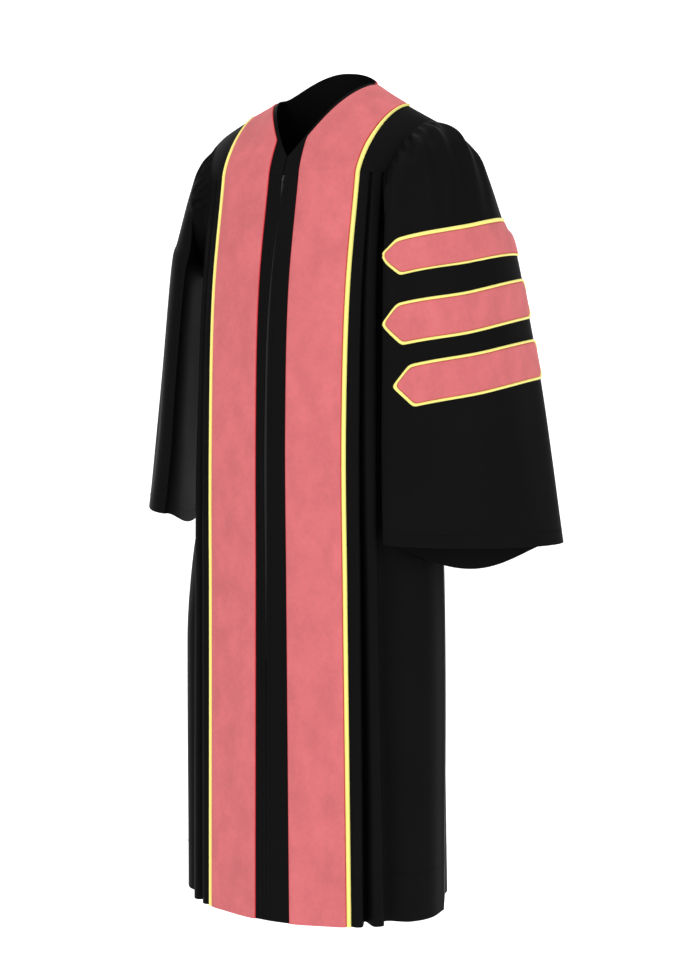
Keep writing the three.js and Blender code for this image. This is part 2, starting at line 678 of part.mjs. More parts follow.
// Cell of the armhole edge by angle, moved into the hole by the seam gap
function armholeCells(cells, lowest) {
  const loop = armholeLoop(cells);
  const down = loopLength(cells, lowest);
  const whole = loopLength(cells, cells.length);
  const place = (angle) => (angle <= Math.PI
    ? (down * angle) / Math.PI
    : down + ((whole - down) * (angle - Math.PI)) / Math.PI);
  const step = 0.05;
  const around = 2 * Math.PI;
  return (angle) => {
    const cell = loop(place(angle));
    const ahead = loop(place((angle + step) % around)).point;
    const behind = loop(place((angle - step + around) % around)).point;
    const into = cell.normal.clone().cross(ahead.clone().sub(behind)).normalize();
    cell.point.addScaledVector(into, ARMHOLE_GAP);
    return cell;
  };
}

// How far gathers and soft folds move the sleeve cloth out
function sleeveRelief(at, angle) {
  const degrees = THREE.MathUtils.radToDeg(angle > Math.PI ? angle - 2 * Math.PI : angle);
  const open = 1 - smooth(Math.abs(degrees), GATHERS.openTo, GATHERS.openFrom);
  const rising = smooth(at, 0, GATHERS.peak);
  const dying = 1 - smooth(at, GATHERS.peak, GATHERS.fade);
  let out = GATHERS.depth * open * rising * dying * Math.cos(GATHERS.count * angle);
  for (const fold of SLEEVE_FOLDS) {
    const near = Math.exp(-(((degrees - fold.at) / fold.width) ** 2));
    const deepening = smooth(at, FOLD_REACH.from, FOLD_REACH.whole);
    const fading = 1 - smooth(at, FOLD_REACH.whole, fold.fade);
    out -= fold.depth * near * deepening * fading;
  }
  return out;
}

function sleeveGrid(hang, armhole) {
  const barRows = BAR_DROPS.flatMap((drop) => [drop - BAR.room, drop + BAR.room]).map(sectionAtDrop);
  const places = [...HEAD_ROWS, ...UPPER_ROWS, ...barRows, ...LOWER_ROWS];
  const rowAngles = places.map((_, i) => {
    const count = i < HEAD_ROWS.length ? HEAD_COLUMNS : SLEEVE_COLUMNS;
    return Array.from({ length: count }, (_, j) => (2 * Math.PI * j) / count);
  });
  const plain = places.map((at, i) => rowAngles[i].map((angle) => {
    const hold = Math.max(1 - at / ARMHOLE_BLEND, 0) ** 2;
    const pull = armhole(angle).point.sub(plainSleevePoint(hang, 0, angle));
    return plainSleevePoint(hang, at, angle).addScaledVector(pull, hold);
  }));
  const base = gridOf(plain, 1, true);
  const relief = (i, j) => sleeveRelief(places[i], rowAngles[i][j]);
  const folded = base.map((row, i) => row.map((cell, j) => moved(cell, relief(i, j))));
  const grid = gridOf(folded, 1, true);
  rowAngles[0].forEach((angle, j) => {
    grid[0][j].normal.copy(armhole(angle).normal);
  });
  return { grid, firstBarRow: HEAD_ROWS.length + UPPER_ROWS.length };
}

// Bars

// Cell on the two triangles that stitch() puts between four cells
function onFacet([upperFrom, upperTo, lowerFrom, lowerTo], share, down) {
  const apart = (a, b) => a.point.distanceTo(b.point);
  const rising = apart(upperTo, lowerFrom) <= apart(upperFrom, lowerTo);
  const [corners, s, t] = rising
    ? [[upperFrom, upperTo, lowerFrom, lowerTo], share, down]
    : [[lowerFrom, lowerTo, upperFrom, upperTo], share, 1 - down];
  const near = s + t <= 1;
  const [corner, along, across] = near ? corners.slice(0, 3) : [corners[3], corners[2], corners[1]];
  const [p, q] = near ? [s, t] : [1 - s, 1 - t];
  const mix = (key) => corner[key].clone().multiplyScalar(1 - p - q)
    .addScaledVector(along[key], p)
    .addScaledVector(across[key], q);
  return { point: mix('point'), normal: mix('normal').normalize() };
}

// Cell on a sleeve between two of its rows, by distance along from the outer line towards the
// front and distance up from the middle
function barSurface(upper, lower) {
  const count = upper.length;
  const middle = upper.map((cell, j) => cell.point.clone().lerp(lower[j].point, 0.5));
  const reach = (k) => ((k % count) + count) % count;
  const half = Math.floor(count / 2);
  const marks = [{ column: 0, along: 0 }];
  for (let k = 1; k <= half; k += 1) {
    const ahead = marks.at(-1).along + middle[reach(k)].distanceTo(middle[reach(k - 1)]);
    const behind = marks[0].along - middle[reach(-k)].distanceTo(middle[reach(1 - k)]);
    marks.push({ column: k, along: ahead });
    marks.unshift({ column: -k, along: behind });
  }
  const cellAt = (along, up) => {
    let i = 0;
    while (i < marks.length - 2 && marks[i + 1].along < along) i += 1;
    const share = (along - marks[i].along) / (marks[i + 1].along - marks[i].along);
    const [from, to] = [reach(marks[i].column), reach(marks[i + 1].column)];
    const heightAt = (k) => upper[k].point.distanceTo(lower[k].point);
    const down = 0.5 - up / lerp(heightAt(from), heightAt(to), share);
    return onFacet([upper[from], upper[to], lower[from], lower[to]], share, down);
  };
  return { cellAt, stops: marks.map((mark) => mark.along) };
}

// Distances along a bar at which it is cut: its tips and shoulders, each line of the sleeve, and
// a few steps along its pointed ends
function barStops(surface, centre) {
  const { pointSteps } = BAR_CUTS;
  const steps = Array.from({ length: pointSteps + 1 }, (_, k) => (BAR.point * k) / pointSteps);
  const ends = [-1, 1].flatMap((way) => steps.map((step) => way * (BAR.halfLength - step)));
  const shoulder = BAR.halfLength - BAR.point;
  const corners = [-BAR.halfLength, -shoulder, shoulder, BAR.halfLength];
  const lines = surface.stops.map((along) => along - centre)
    .filter((along) => Math.abs(along) < BAR.halfLength);
  const kept = [];
  for (const along of [...corners, ...lines, ...ends]) {
    if (kept.every((other) => Math.abs(other - along) > BAR_CUTS.leastStep)) kept.push(along);
  }
  return kept.sort((p, q) => p - q).map((along) => along + centre);
}

function barHalfWidth(fromCentre) {
  const taper = clamp((BAR.halfLength - Math.abs(fromCentre)) / BAR.point, 0, 1);
  return lerp(BAR.tipHalf, BAR.halfWidth, taper);
}

function barGrid(surface, centre) {
  const stops = barStops(surface, centre);
  const edgeAt = (way, along) => surface.cellAt(along, way * barHalfWidth(along - centre));
  return [1, -1].map((way) => stops.map((along) => edgeAt(way, along)));
}

// Shares of a stretch of piping at which its inner or outer edge crosses a line of the sleeve
function pipingCuts(surface, edges) {
  const cuts = edges.flatMap(([from, to]) => surface.stops
    .filter((stop) => Math.min(Math.abs(stop - from), Math.abs(stop - to)) > BAR_CUTS.leastCut)
    .map((stop) => (stop - from) / (to - from))
    .filter((share) => share > 0 && share < 1));
  return [0, ...cuts.sort((p, q) => p - q)];
}

// Piping round a bar: a rounded section outside its outline
function barPiping(surface, centre) {
  const stops = barStops(surface, centre);
  const inside = stops.slice(1, -1);
  const edge = (along) => barHalfWidth(along - centre);
  const outline = [
    { along: stops[0], up: 0 },
    ...inside.map((along) => ({ along, up: edge(along) })),
    { along: stops.at(-1), up: 0 },
    ...inside.reverse().map((along) => ({ along, up: -edge(along) })),
  ];
  const corners = outline.map((place, i) => {
    const before = outline.at(i - 1);
    const after = outline[(i + 1) % outline.length];
    const normalOf = (a, b) => new THREE.Vector2(-(b.up - a.up), b.along - a.along).normalize();
    const first = normalOf(before, place);
    const mitre = first.clone().add(normalOf(place, after)).normalize();
    return { ...place, mitre: mitre.divideScalar(mitre.dot(first)) };
  });
  const offset = (corner, off) => {
    const out = BAR_PIPING_GAP + off * BAR_PIPING.width;
    return { along: corner.along + corner.mitre.x * out, up: corner.up + corner.mitre.y * out };
  };
  const rings = corners.flatMap((corner, i) => {
    const next = corners[(i + 1) % corners.length];
    const ring = (t) => BAR_PIPING_PROFILE.map(({ off, height }) => {
      const [from, to] = [offset(corner, off), offset(next, off)];
      const cell = surface.cellAt(lerp(from.along, to.along, t), lerp(from.up, to.up, t));
      return moved(cell, BAR_PIPING_LIFT + height * BAR_PIPING.height);
    });
    const edges = [0, 1].map((off) => [offset(corner, off).along, offset(next, off).along]);
    return pipingCuts(surface, edges).map(ring);
  });
  return sweep(rings, true);
}

// Velvet bands

// Rows of a band from the hem up the front, over the yoke and round to the centre back
function bandRows(side, front, yoke, backYoke) {
  const width = BAND_SPLITS + 2;
  const cut = (rows, first) => rows.map((row) => row.slice(first, first + width)).reverse();
  const onFront = cut(front, FRONT_BAND_COLUMN);
  const onYoke = cut(yoke.slice(0, -1), YOKE_BAND_COLUMN);
  const half = BACK_YOKE_STEPS / 2;
  const onBack = [];
  for (let i = 1; i <= half; i += 1) {
    const column = side > 0 ? i : BACK_YOKE_STEPS - i;
    const row = backYoke.slice(BACK_BAND_ROW, BACK_BAND_ROW + width).map((cells) => cells[column]);
    const shift = i === half ? (side * SEAM_GAP) / 2 : 0;
    onBack.push(row.map(({ point, normal }) => {
      const place = point.clone();
      place.x += shift;
      return { point: place, normal };
    }));
  }
  return [...onFront, ...onYoke, ...onBack];
}

// Piping between the velvet's outer edge and the next line of the panel
function bandPiping(rows) {
  const rings = rows.map((row) => {
    const [velvetEdge, pipingEdge] = row.slice(-2);
    const room = SEAM_GAP / velvetEdge.point.distanceTo(pipingEdge.point);
    return BAND_PIPING_PROFILE.map(({ off, height }) => {
      const cell = between(velvetEdge, pipingEdge, lerp(room, 1 - room, off));
      return moved(cell, BAND_LIFT + height * BAND_PIPING.height);
    });
  });
  return sweep(rings, false);
}

// Zip

function zipTape(left, right) {
  const rows = BODY_LEVELS.filter((drop) => drop <= ZIP_END_DROP)
    .map((_, i) => [left[i][1], left[i][0], right[i][0], right[i][1]]);
  return sheet(rows, -(CLOTH + SEAM_GAP + TAPE), -(CLOTH + SEAM_GAP));
}

// Slider standing on the tape in the open top of the slit, narrower at its lower end
function zipSlider() {
  const middle = SLIDER.top + SLIDER.length / 2;
  const centre = bodyPoint(frontAngle(slit.centre(middle), middle), middle);
  const upper = bodyPoint(frontAngle(slit.centre(SLIDER.top), SLIDER.top), SLIDER.top);
  const up = upper.sub(centre).normalize();
  const out = new THREE.Vector3(1, 0, 0).cross(up).normalize();
  const across = up.clone().cross(out).normalize();
  const layers = [
    { inset: 0, depth: 0 },
    { inset: 0, depth: SLIDER.thick - SLIDER.chamfer },
    { inset: SLIDER.chamfer, depth: SLIDER.thick },
  ];
  const rings = layers.map(({ inset, depth }) => SLIDER_OUTLINE.map(({ wide, tall }) => centre.clone()
    .addScaledVector(out, depth - CLOTH)
    .addScaledVector(across, wide * (SLIDER.halfWidth - inset))
    .addScaledVector(up, tall * (SLIDER.length / 2 - inset))));
  return sweep(rings, false);
}

// Assembly

const gown = new THREE.Group();
gown.name = 'graduation_gown';

function add(name, geometry, finish) {
  const mesh = new THREE.Mesh(geometry, new THREE.MeshStandardMaterial(finish));
  mesh.name = name;
  gown.add(mesh);
}

const back = backGrid();
const backYoke = backYokeGrid();
add('back', sheet(back, -CLOTH, 0), BLACK_CLOTH);
add('yoke_back', sheet(backYoke, -CLOTH, 0), BLACK_CLOTH);

const fronts = {};
for (const [name, hang] of Object.entries(SLEEVE_HANG)) {
  const { side } = hang;
  const front = frontGrid(side);
  const yoke = frontYokeGrid(side);
  fronts[name] = front;
  add(`front_${name}`, sheet(front, -CLOTH, 0), BLACK_CLOTH);
  add(`yoke_front_${name}`, sheet(yoke, -CLOTH, 0), BLACK_CLOTH);

  const trim = bandRows(side, front, yoke, backYoke);
  const velvet = trim.map((row) => row.slice(0, -1));
  add(`velvet_band_${name}`, sheet(velvet, BAND_LIFT, BAND_LIFT + VELVET), ROSE_VELVET);
  add(`band_piping_${name}`, bandPiping(trim), YELLOW_SATIN);

  const underarmRow = BODY_LEVELS.indexOf(UNDERARM_DROP);
  const quarter = BACK_YOKE_STEPS / 4;
  const backColumn = (row) => (side > 0 ? row[0] : row.at(-1));
  const yokeEdge = backYoke.at(-1);
  const yokeCells = side > 0 ? yokeEdge.slice(1, quarter + 1) : yokeEdge.slice(-quarter - 1, -1).reverse();
  const downFront = [...yoke, ...front.slice(0, underarmRow + 1)].map((row) => row.at(-1));
  const upBack = [...back.slice(0, underarmRow).map(backColumn).reverse(), ...yokeCells.reverse()];
  const edge = mirrored([[...downFront, ...upBack]], side)[0];
  const armhole = armholeCells(edge, downFront.length - 1);
  const { grid, firstBarRow } = sleeveGrid(hang, armhole);
  const sleeve = mirrored(grid, side);
  add(`sleeve_${name}`, sheet(sleeve, -CLOTH, 0, true), BLACK_CLOTH);

  BAR_DROPS.forEach((_, k) => {
    const row = firstBarRow + 2 * k;
    const surface = barSurface(sleeve[row], sleeve[row + 1]);
    const shift = -hang.barShifts[k];
    const bar = barGrid(surface, shift);
    add(`bar_${name}_${k + 1}`, sheet(bar, BAR_LIFT, BAR_LIFT + VELVET), ROSE_VELVET);
    add(`bar_piping_${name}_${k + 1}`, barPiping(surface, shift), YELLOW_SATIN);
  });
}

add('zip_tape', zipTape(fronts.left, fronts.right), BLACK_TAPE);
add('zip_slider', zipSlider(), SLIDER_METAL);

export default gown;
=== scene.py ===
"""Dresses the graduation gown's frame with cloth, velvet, piping, a zip and sewing.

Every piece is a surface on a grid of points, worked out from the tables below in millimetres,
and turned into a thin closed shell in metres. +X is the wearer's left, -Y the front, +Z up.
"""

import math

import bpy
import numpy as np
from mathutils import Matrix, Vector


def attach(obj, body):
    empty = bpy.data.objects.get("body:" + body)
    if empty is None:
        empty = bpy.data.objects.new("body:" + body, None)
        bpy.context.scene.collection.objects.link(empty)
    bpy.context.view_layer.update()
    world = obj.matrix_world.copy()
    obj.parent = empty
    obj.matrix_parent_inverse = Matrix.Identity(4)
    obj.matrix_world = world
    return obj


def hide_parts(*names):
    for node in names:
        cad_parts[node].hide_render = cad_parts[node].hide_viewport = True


bl_info = {
    "name": "Graduation gown",
    "version": (1, 0, 0),
    "blender": (4, 5, 0),
    "location": "View3D > Sidebar > Gown",
    "description": "Builds a doctoral graduation gown over its packed frame",
    "category": "Object",
}

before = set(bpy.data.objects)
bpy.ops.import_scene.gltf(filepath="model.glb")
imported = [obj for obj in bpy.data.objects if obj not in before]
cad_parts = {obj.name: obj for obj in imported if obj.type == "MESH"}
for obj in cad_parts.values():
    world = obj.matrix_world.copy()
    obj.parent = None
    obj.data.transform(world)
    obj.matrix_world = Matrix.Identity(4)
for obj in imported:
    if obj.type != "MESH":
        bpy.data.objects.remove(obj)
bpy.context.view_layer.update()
MM = 0.001


def table(names, *rows):
    """Columns of a small table, by name."""
    return dict(zip(names.split(), np.array(rows, float).T))


# Heights below the origin, and the widths of neck and shoulders
YOKE, UNDERARM, ZIP_END, HEM = 148.0, 287.0, 905.0, 1320.0
NECK_HALF, BACK_NECK_DEPTH, BACK_NECK_RISE, BACK_NECK_CURVE = 82.0, 62.0, 40.0, 1.7
SHOULDER_HALF, SHOULDER_SET_BACK = 192.0, 7.0
NECK_V_SHARE, NECK_V_CURVE = 0.8, 1.78
FRONT_CORNER, FRONT_CORNER_CURVE, BACK_CORNER = 157.5, 1.2, 150.0
ROUND_CENTRE, ROUND_SHOULDER = 1.25, 1.6
NECK_MARGIN, SHOULDER_BAND_OUTER, NECK_SHARE = 6.0, 144.0, 0.5
SEAM_GAP, TAPE_HALF, YOKE_SLIT_SHARE = 0.3, 12.0, 0.2
BAND_SWEEP = {"left": (1.6, 1.5), "right": (1.0, 6.0)}
BAND_WIDTH, BACK_BAND_INNER, BACK_BAND_OUTER = 95.0, 0.05, 0.49
FOLD_GROWTH, FOLD_SWELL, EDGE_COLUMNS, SEAM_FADE = 2.2, 180.0, 12, 32.0
# The velvet's lift off the cloth, the piping's heights, the gap between a bar and its piping, and
# the shares by which the pile is lower in the columns next to its cut edges
VELVET_LIFT, BAND_PIPING_HEIGHT, BAR_PIPING_HEIGHT, BAR_PIPING_GAP = 0.6, 3.0, 2.6, 0.3
PILE_EDGE = (1, 0.45, 0.1)
SLEEVE_COLUMNS, OUTLINE_STEPS = 300, 480
SHARP_ANGLE = 50.0
# The zip: depths of its tape behind the cloth, its teeth, and its slider's middle and half sizes
TAPE_FRONT, TAPE_REAR = -1.9, -2.9
TEETH_TOP, TEETH_END, TEETH_STEP, TEETH_APART, TEETH_DEPTH = 162.0, 900.0, 2.4, 0.7, -1.2
TOOTH_HALF = (1.15, 0.5, 0.75)
SLIDER_DROP, SLIDER_HALF_WIDTH, SLIDER_HALF_LENGTH = 156.0, 2.5, 5.0
# The sewing: its distance from the slit's edge, and a stitch's lift, half width, half height, and
# half length as a share of the step
SLIT_SEWING, STITCH_LIFT = 7.0, 0.1
STITCH_HALF_WIDTH, STITCH_HALF_HEIGHT, STITCH_SHARE = 0.35, 0.25, 0.36
# The stage, in metres and degrees: the camera, the floor's sweep and the lights
CAMERA_PLACE = (1.2317, -2.5254, -0.4577)
CAMERA_TURN, CAMERA_TILT, CAMERA_LENS, CAMERA_SHIFT = 26.0, 3.89, 62.4, 0.0139
FLOOR_DROP, FLOOR_HALF, FLOOR_RUN, FLOOR_BEND = 1.62, 9.0, 4.0, 2.5
FLOOR_GLOW, WORLD_STRENGTH = 0.65, 0.36
LIGHT_TARGET = np.array([0.0, 0.0, -0.6])
LIGHTS = (
    ("key", (-0.6, -3.4, 1.6), 2.2, 62),
    ("side", (3.4, -1.0, 0.6), 2.0, 42),
    ("top", (0.2, -0.2, 3.0), 2.4, 36),
)

BODY = table(
    "drop half_width centre_y front back square",
    (148, 204, -10, 145, 108, 2.3),
    (330, 194, -18, 174, 124, 2.5),
    (540, 198, -24, 181, 144, 2.45),
    (780, 220, -29, 177, 168, 2.1),
    (1320, 225, -32, 174, 172, 2.0),
)
CREST = table(
    "across left right",
    (0, 42, 42),
    (45, 31, 23),
    (82, 10, -8),
    (110, -9, -22),
    (140, -28, -35),
    (192, -58, -60),
)
BAND = table(
    "drop left_inner right_inner outer",
    (148, 26, 26, 121),
    (600, 28, 24, 120),
    (1320, 33, 27, 127),
)
SLIT = table(
    "drop centre half",
    (148, -1, 3.2),
    (163, -1.5, 3.0),
    (185, -2, 0.8),
    (260, -4, 1.2),
    (420, -7, 2.3),
    (700, -7, 2.3),
    (905, -7, 0.6),
    (1320, -7, 0.4),
)
# Lines of the two pleats outside each band, from its first crest to its second floor
PLEATS = table(
    "yoke_across hem_across yoke_out hem_out",
    (127, 134, 0.5, 5),
    (133.5, 142, 0.5, 3),
    (136.8, 149, -4, -23),
    (140, 156, 0.5, 3),
    (145.5, 162, 0.8, 6),
    (150, 169, 0.5, 3),
    (153, 176, -3, -18),
)
FRONT_SIDE = table("share sleeve_out hem_out", (0.3, -12, 5), (0.62, -8, 4), (1, 0, 0))
# Drops between which the sleeve begins and ends to press in the front's side, and the places of
# that side in the table of soft folds
SIDE_PRESSED, SIDE_FREE, SIDE_FOLDS = (150.0, 225.0), (640.0, 900.0), (180.0, 85.0)
BACK_FOLDS = table(
    "yoke_turn hem_turn yoke_out hem_out",
    (0, 0, 0.8, 7),
    (7, 9, -2.5, -15),
    (14, 20, 0.8, 6),
    (20, 30, -2.5, -12),
    (27, 41, 0.8, 7),
    (34, 52, -2.5, -13),
    (41, 63, 0.8, 5),
    (48, 74, -2, -8),
)
# Sections of a sleeve from the armhole to the mouth. The flat columns are those of the right
# sleeve, which hangs flatter and further back
SLEEVE = table(
    "x drop turn inner fall lean front back outer rise flat_front flat_back flat_outer flat_rise",
    (194, 172, 0, 0, 115, 0, 102, 102, 0, 114, 102, 102, 0, 114),
    (208, 179, 14, -1, 104, 2, 125, 90, 20, 105, 112, 98, 0, 82),
    (210, 191, 19, -2, 99, 5, 133, 93, 41, 92, 108, 108, 13, 67),
    (212, 212, 19, -3, 88, 11, 136, 104, 55, 62, 105, 126, 32, 45),
    (217, 250, 20, -2, 62, 22, 142, 124, 61, 18, 112, 154, 49, 15),
    (225, 290, 22, 2, 46, 29, 149, 136, 63, 13, 123, 166, 51, 13),
    (244, 470, 26, 8, 36, 29, 164, 156, 66, 12, 137, 176, 52, 12),
    (257, 600, 30, 10, 38, 18, 170, 164, 65, 10, 143, 177, 54, 10),
    (270, 724, 32, 10, 44, 7, 178, 172, 62, -5, 150, 177, 55, 6),
)
LAST_SECTION, HEAD_SECTION = 8, 2.4
SLEEVE_MID_Y, ARMHOLE_BLEND, DRAW_WHOLE, MOUTH_LEAN_FROM = -16.0, 2.5, 4.0, 6.0
INNER_DIP, MOUTH_DIP = 0.4, 2.4
HANG = {
    "left": dict(side=1, kind="", turn=1, fall=1, lift=0, draw=0, mouth_lean=-13,
                 bars=(-8, -14, -1)),
    "right": dict(side=-1, kind="flat_", turn=0.5, fall=0.7, lift=45, draw=10, mouth_lean=0,
                  bars=(132, 130, 134)),
}
# Soft folds of a sleeve: angle at the head and at the mouth, width in degrees, depth, and the
# sections where each begins, is deepest and ends
SLEEVE_FOLDS = table(
    "at to width depth begin deep end",
    (66, 62, 5, -3.0, 0.1, 1.0, 3.4),
    (52, 44, 7, -4.5, 0.2, 1.6, 4.0),
    (41, 36, 4, 2.0, 0.1, 1.0, 3.0),
    (30, 22, 7, -6.0, 0.2, 1.8, 4.6),
    (19, 15, 4, 2.4, 0.1, 1.1, 3.2),
    (8, 2, 8, -6.5, 0.2, 1.8, 5.4),
    (-5, -8, 5, 2.4, 0.1, 1.2, 3.4),
    (-16, -22, 8, -5.0, 0.2, 1.8, 4.6),
    (-42, -46, 10, -2.0, 0.2, 1.8, 4.8),
    (-66, -62, 8, -3.5, 0.2, 1.2, 3.6),
    (58, 40, 16, -5.0, 4.8, 6.9, 8.6),
    (20, 6, 17, 3.5, 4.6, 7.0, 9.0),
    (-24, -40, 18, -4.5, 4.4, 6.8, 8.8),
    (150, 165, 22, -4.0, 3.0, 6.0, 9.0),
    (-150, -170, 24, -5.0, 3.0, 6.5, 9.0),
)
# Bars of a sleeve: drop, lift of the front end, the share of it that the upper edge has, and the
# front tip's height. Then corners of the outline from the back tip round by the upper side, along
# in mm and up as a share of half the width
BARS = table("drop rise upper tip", (270, 11, 0.25, 0.5), (369, 9, 1, 0.24), (465, 6, 1, 0.22))
# The last is how fast the painted shade on a bar's cut edges fades where its pile grows
BAR_ROOM, BAR_RISE, BAR_TIP_RIM, BAR_EDGE_SHADE = 35.0, (10.0, 150.0), 2.5, 1.6
CORNER_REACH, CORNER_SOFTNESS = 7, 4.0
BAR_CORNERS = table("along up", (-170, 0), (-144, 1), (145, 1), (167, 0), (137, -1), (-144, -1))
# Soft folds of the fronts: across at the yoke and the hem, width, depth, first and last drop
FRONT_FOLDS = table(
    "top low width depth begin end",
    (16, 20, 7, -1.0, 420, 1500),
    (70, 80, 26, -1.6, 330, 1500),
    (108, 112, 12, 1.2, 560, 1500),
    (196, 205, 12, -5.0, 470, 1500),
    (228, 222, 13, 4.0, 620, 1500),
    (250, 248, 10, -4.0, 420, 1500),
)
# Soft folds of the back: turn in degrees from the centre back, width, depth, first and last drop
BACK_CREASES = table(
    "top low width depth begin end",
    (-44, -68, 4, -4.0, 300, 1500),
    (-24, -35, 3.5, 3.0, 220, 900),
    (-10, -14, 3, -3.0, 160, 700),
    (3, 4, 3, 2.5, 160, 620),
    (17, 25, 3.5, -3.5, 180, 1000),
    (37, 57, 4, 3.5, 260, 1500),
    (46, 70, 4, -4.0, 320, 1500),
)
# Gathers are waves of so many to a full turn, drawn uneven by a slower wave. They grow between the
# first pair of places and fade between the second: drops on the back, sections on a sleeve
GATHERS = "count uneven slow phase depth begin whole fade end"
BACK_GATHERS = table(GATHERS, (34, 1.3, 5, 0, 1.5, 149, 165, 165, 300))
SLEEVE_GATHERS = table(
    GATHERS, (36, 0.9, 4, 0, 1.5, 0.02, 0.25, 0.4, 1.2), (17, 1.1, 3, 0.6, 2.0, 0.2, 0.9, 0.9, 2.6)
)
GATHERED_TURN = (92.0, 120.0)


def smooth(value, low, high):
    """0 up to low, 1 from high on, and a smooth step between."""
    t = np.clip((np.asarray(value, float) - low) / (high - low), 0, 1)
    return t * t * (3 - 2 * t)


def mix(a, b, share):
    """a at share 0, b at share 1, and a straight line between."""
    return a + (b - a) * share


def through(along, values):
    """Smooth curve through values: cubic pieces whose slope at each row is that of the line
    between the rows on its two sides. The values may have more axes after the first."""
    at, value = np.asarray(along, float), np.asarray(values, float)
    more = (1,) * (value.ndim - 1)
    row = np.arange(len(at))
    before, after = np.maximum(row - 1, 0), np.minimum(row + 1, len(at) - 1)
    slope = (value[after] - value[before]) / (at[after] - at[before]).reshape((-1, *more))

    def curve(t):
        t = np.asarray(t, float)
        i = np.clip(np.searchsorted(at, t, side="left") - 1, 0, len(at) - 2)
        step = np.reshape(at[i + 1] - at[i], t.shape + more)
        f = np.reshape(t - at[i], t.shape + more) / step
        g = 1 - f
        ends = value[i] * g * g * (1 + 2 * f) + value[i + 1] * f * f * (1 + 2 * g)
        return ends + step * f * g * (slope[i] * g - slope[i + 1] * f)

    return curve


def curves(columns, along):
    """A smooth curve for each column of a table, against one of them."""
    return {key: through(columns[along], columns[key]) for key in columns if key != along}


body = curves(BODY, "drop")
crest = curves(CREST, "across")
band = curves(BAND, "drop")
slit = curves(SLIT, "drop")
section = {key: through(np.arange(LAST_SECTION + 1), SLEEVE[key]) for key in SLEEVE}


def soft_folds(rows, place, down, span=(YOKE, HEM)):
    """Sum of the soft folds of a table: each is a bell across its line, which leans from its top
    to its low place, and it swells between its first and last drop."""
    share = (down - span[0]) / (span[1] - span[0])
    total = np.zeros(np.broadcast(place, down).shape)
    for top, low, width, depth, begin, end in zip(*rows.values()):
        line = mix(top, low, share)
        swell = smooth(down, begin, begin + FOLD_SWELL) * (1 - smooth(down, end - FOLD_SWELL, end))
        total = total + depth * swell * np.exp(-(((place - line) / width) ** 2))
    return total


def gathers(rows, angle, down):
    """Sum of the gathers of a table: cosine waves of an angle that swell, then fade below."""
    total = 0
    for count, uneven, slow, phase, depth, begin, whole, fade, end in zip(*rows.values()):
        wave = np.cos(count * angle + uneven * np.sin(slow * angle + phase))
        total = total + depth * wave * smooth(down, begin, whole) * (1 - smooth(down, fade, end))
    return total


# Body


def body_point(angle, drop, out=0.0):
    """Point of the level section at a drop, by angle from the centre front, moved out level. The
    section is a superellipse with its own depth in front and behind."""

    def on_ring(turn):
        depth = np.where(np.cos(turn) > 0, body["front"](drop), body["back"](drop))
        power = body["square"](drop)
        wide = np.abs(np.sin(turn) / body["half_width"](drop)) ** power
        radius = (wide + np.abs(np.cos(turn) / depth) ** power) ** (-1 / power)
        return radius * np.sin(turn), body["centre_y"](drop) - radius * np.cos(turn)

    step = 0.01
    (x0, y0), (x1, y1) = on_ring(angle - step), on_ring(angle + step)
    length = np.hypot(x1 - x0, y1 - y0)
    x, y = on_ring(angle)
    x, y = x + out * (y1 - y0) / length, y - out * (x1 - x0) / length
    return np.stack(np.broadcast_arrays(x, y, -drop), -1)


def section_depth(side, across, drop):
    """Depth of the superellipse in front or behind, at a distance across."""
    power = body["square"](drop)
    share = np.abs(across / body["half_width"](drop))
    return body[side](drop) * (1 - share ** power) ** (1 / power)


def side_angle(side, across, drop):
    """Angle from the centre front or back at a distance across."""
    return np.arctan2(across, section_depth(side, across, drop))


def front_point(across, drop, out=0.0):
    """Point of the front at a distance across, moved out level."""
    return body_point(side_angle("front", across, drop), drop, out)


def band_edges(side, drop):
    """Distances across of a band's inner and outer edges on the front."""
    return band["left_inner" if side > 0 else "right_inner"](drop), band["outer"](drop)


def fallen(drop):
    """Share of the way from the yoke to the hem."""
    return (drop - YOKE) / (HEM - YOKE)


def grown(drop):
    """Share of a fold's growth: fast below the yoke, slow towards the hem."""
    return 1 - (1 - np.clip(fallen(drop), 0, 1)) ** FOLD_GROWTH


def seam_angle(corner, drop):
    """Angle of a panel's side edge: down the armhole as a quarter round, then the side seam."""
    share = np.clip((drop - YOKE) / (UNDERARM - YOKE), 0, 1)
    gap = SEAM_GAP / 2 / body["half_width"](drop)
    return mix(corner, math.pi / 2, 1 - np.sqrt(1 - share * share)) - gap


def body_levels():
    """Drops of a panel's rows: close together at the yoke, even from the underarm to the hem."""
    armhole = UNDERARM - (UNDERARM - YOKE - SEAM_GAP / 2) * np.linspace(1, 0, 40) ** 1.5
    return np.concatenate([armhole, np.linspace(UNDERARM, HEM, 150)[1:]])


def marks_of(points):
    """Lengths along a line of points, from 0 at its first."""
    return np.concatenate([[0], np.cumsum(np.linalg.norm(np.diff(points, axis=0), axis=-1))])


def along_line(points, marks, places):
    """Points at lengths along a line, straight between its points."""
    return np.stack([np.interp(places, marks, column) for column in points.T], -1)


def densify(columns, splits):
    """Grid through the columns of points: a smooth curve across each row, by the columns' mean
    distance apart, with so many steps between each pair of columns."""
    points = np.stack(columns)
    gaps = np.linalg.norm(np.diff(points[..., :3], axis=0), axis=-1).mean(-1)
    marks = np.concatenate([[0], np.cumsum(gaps)])
    places = [np.linspace(marks[i], marks[i + 1], splits, endpoint=False) for i in range(len(gaps))]
    places = np.concatenate([*places, marks[-1:]])
    return through(marks, points)(places).swapaxes(0, 1)


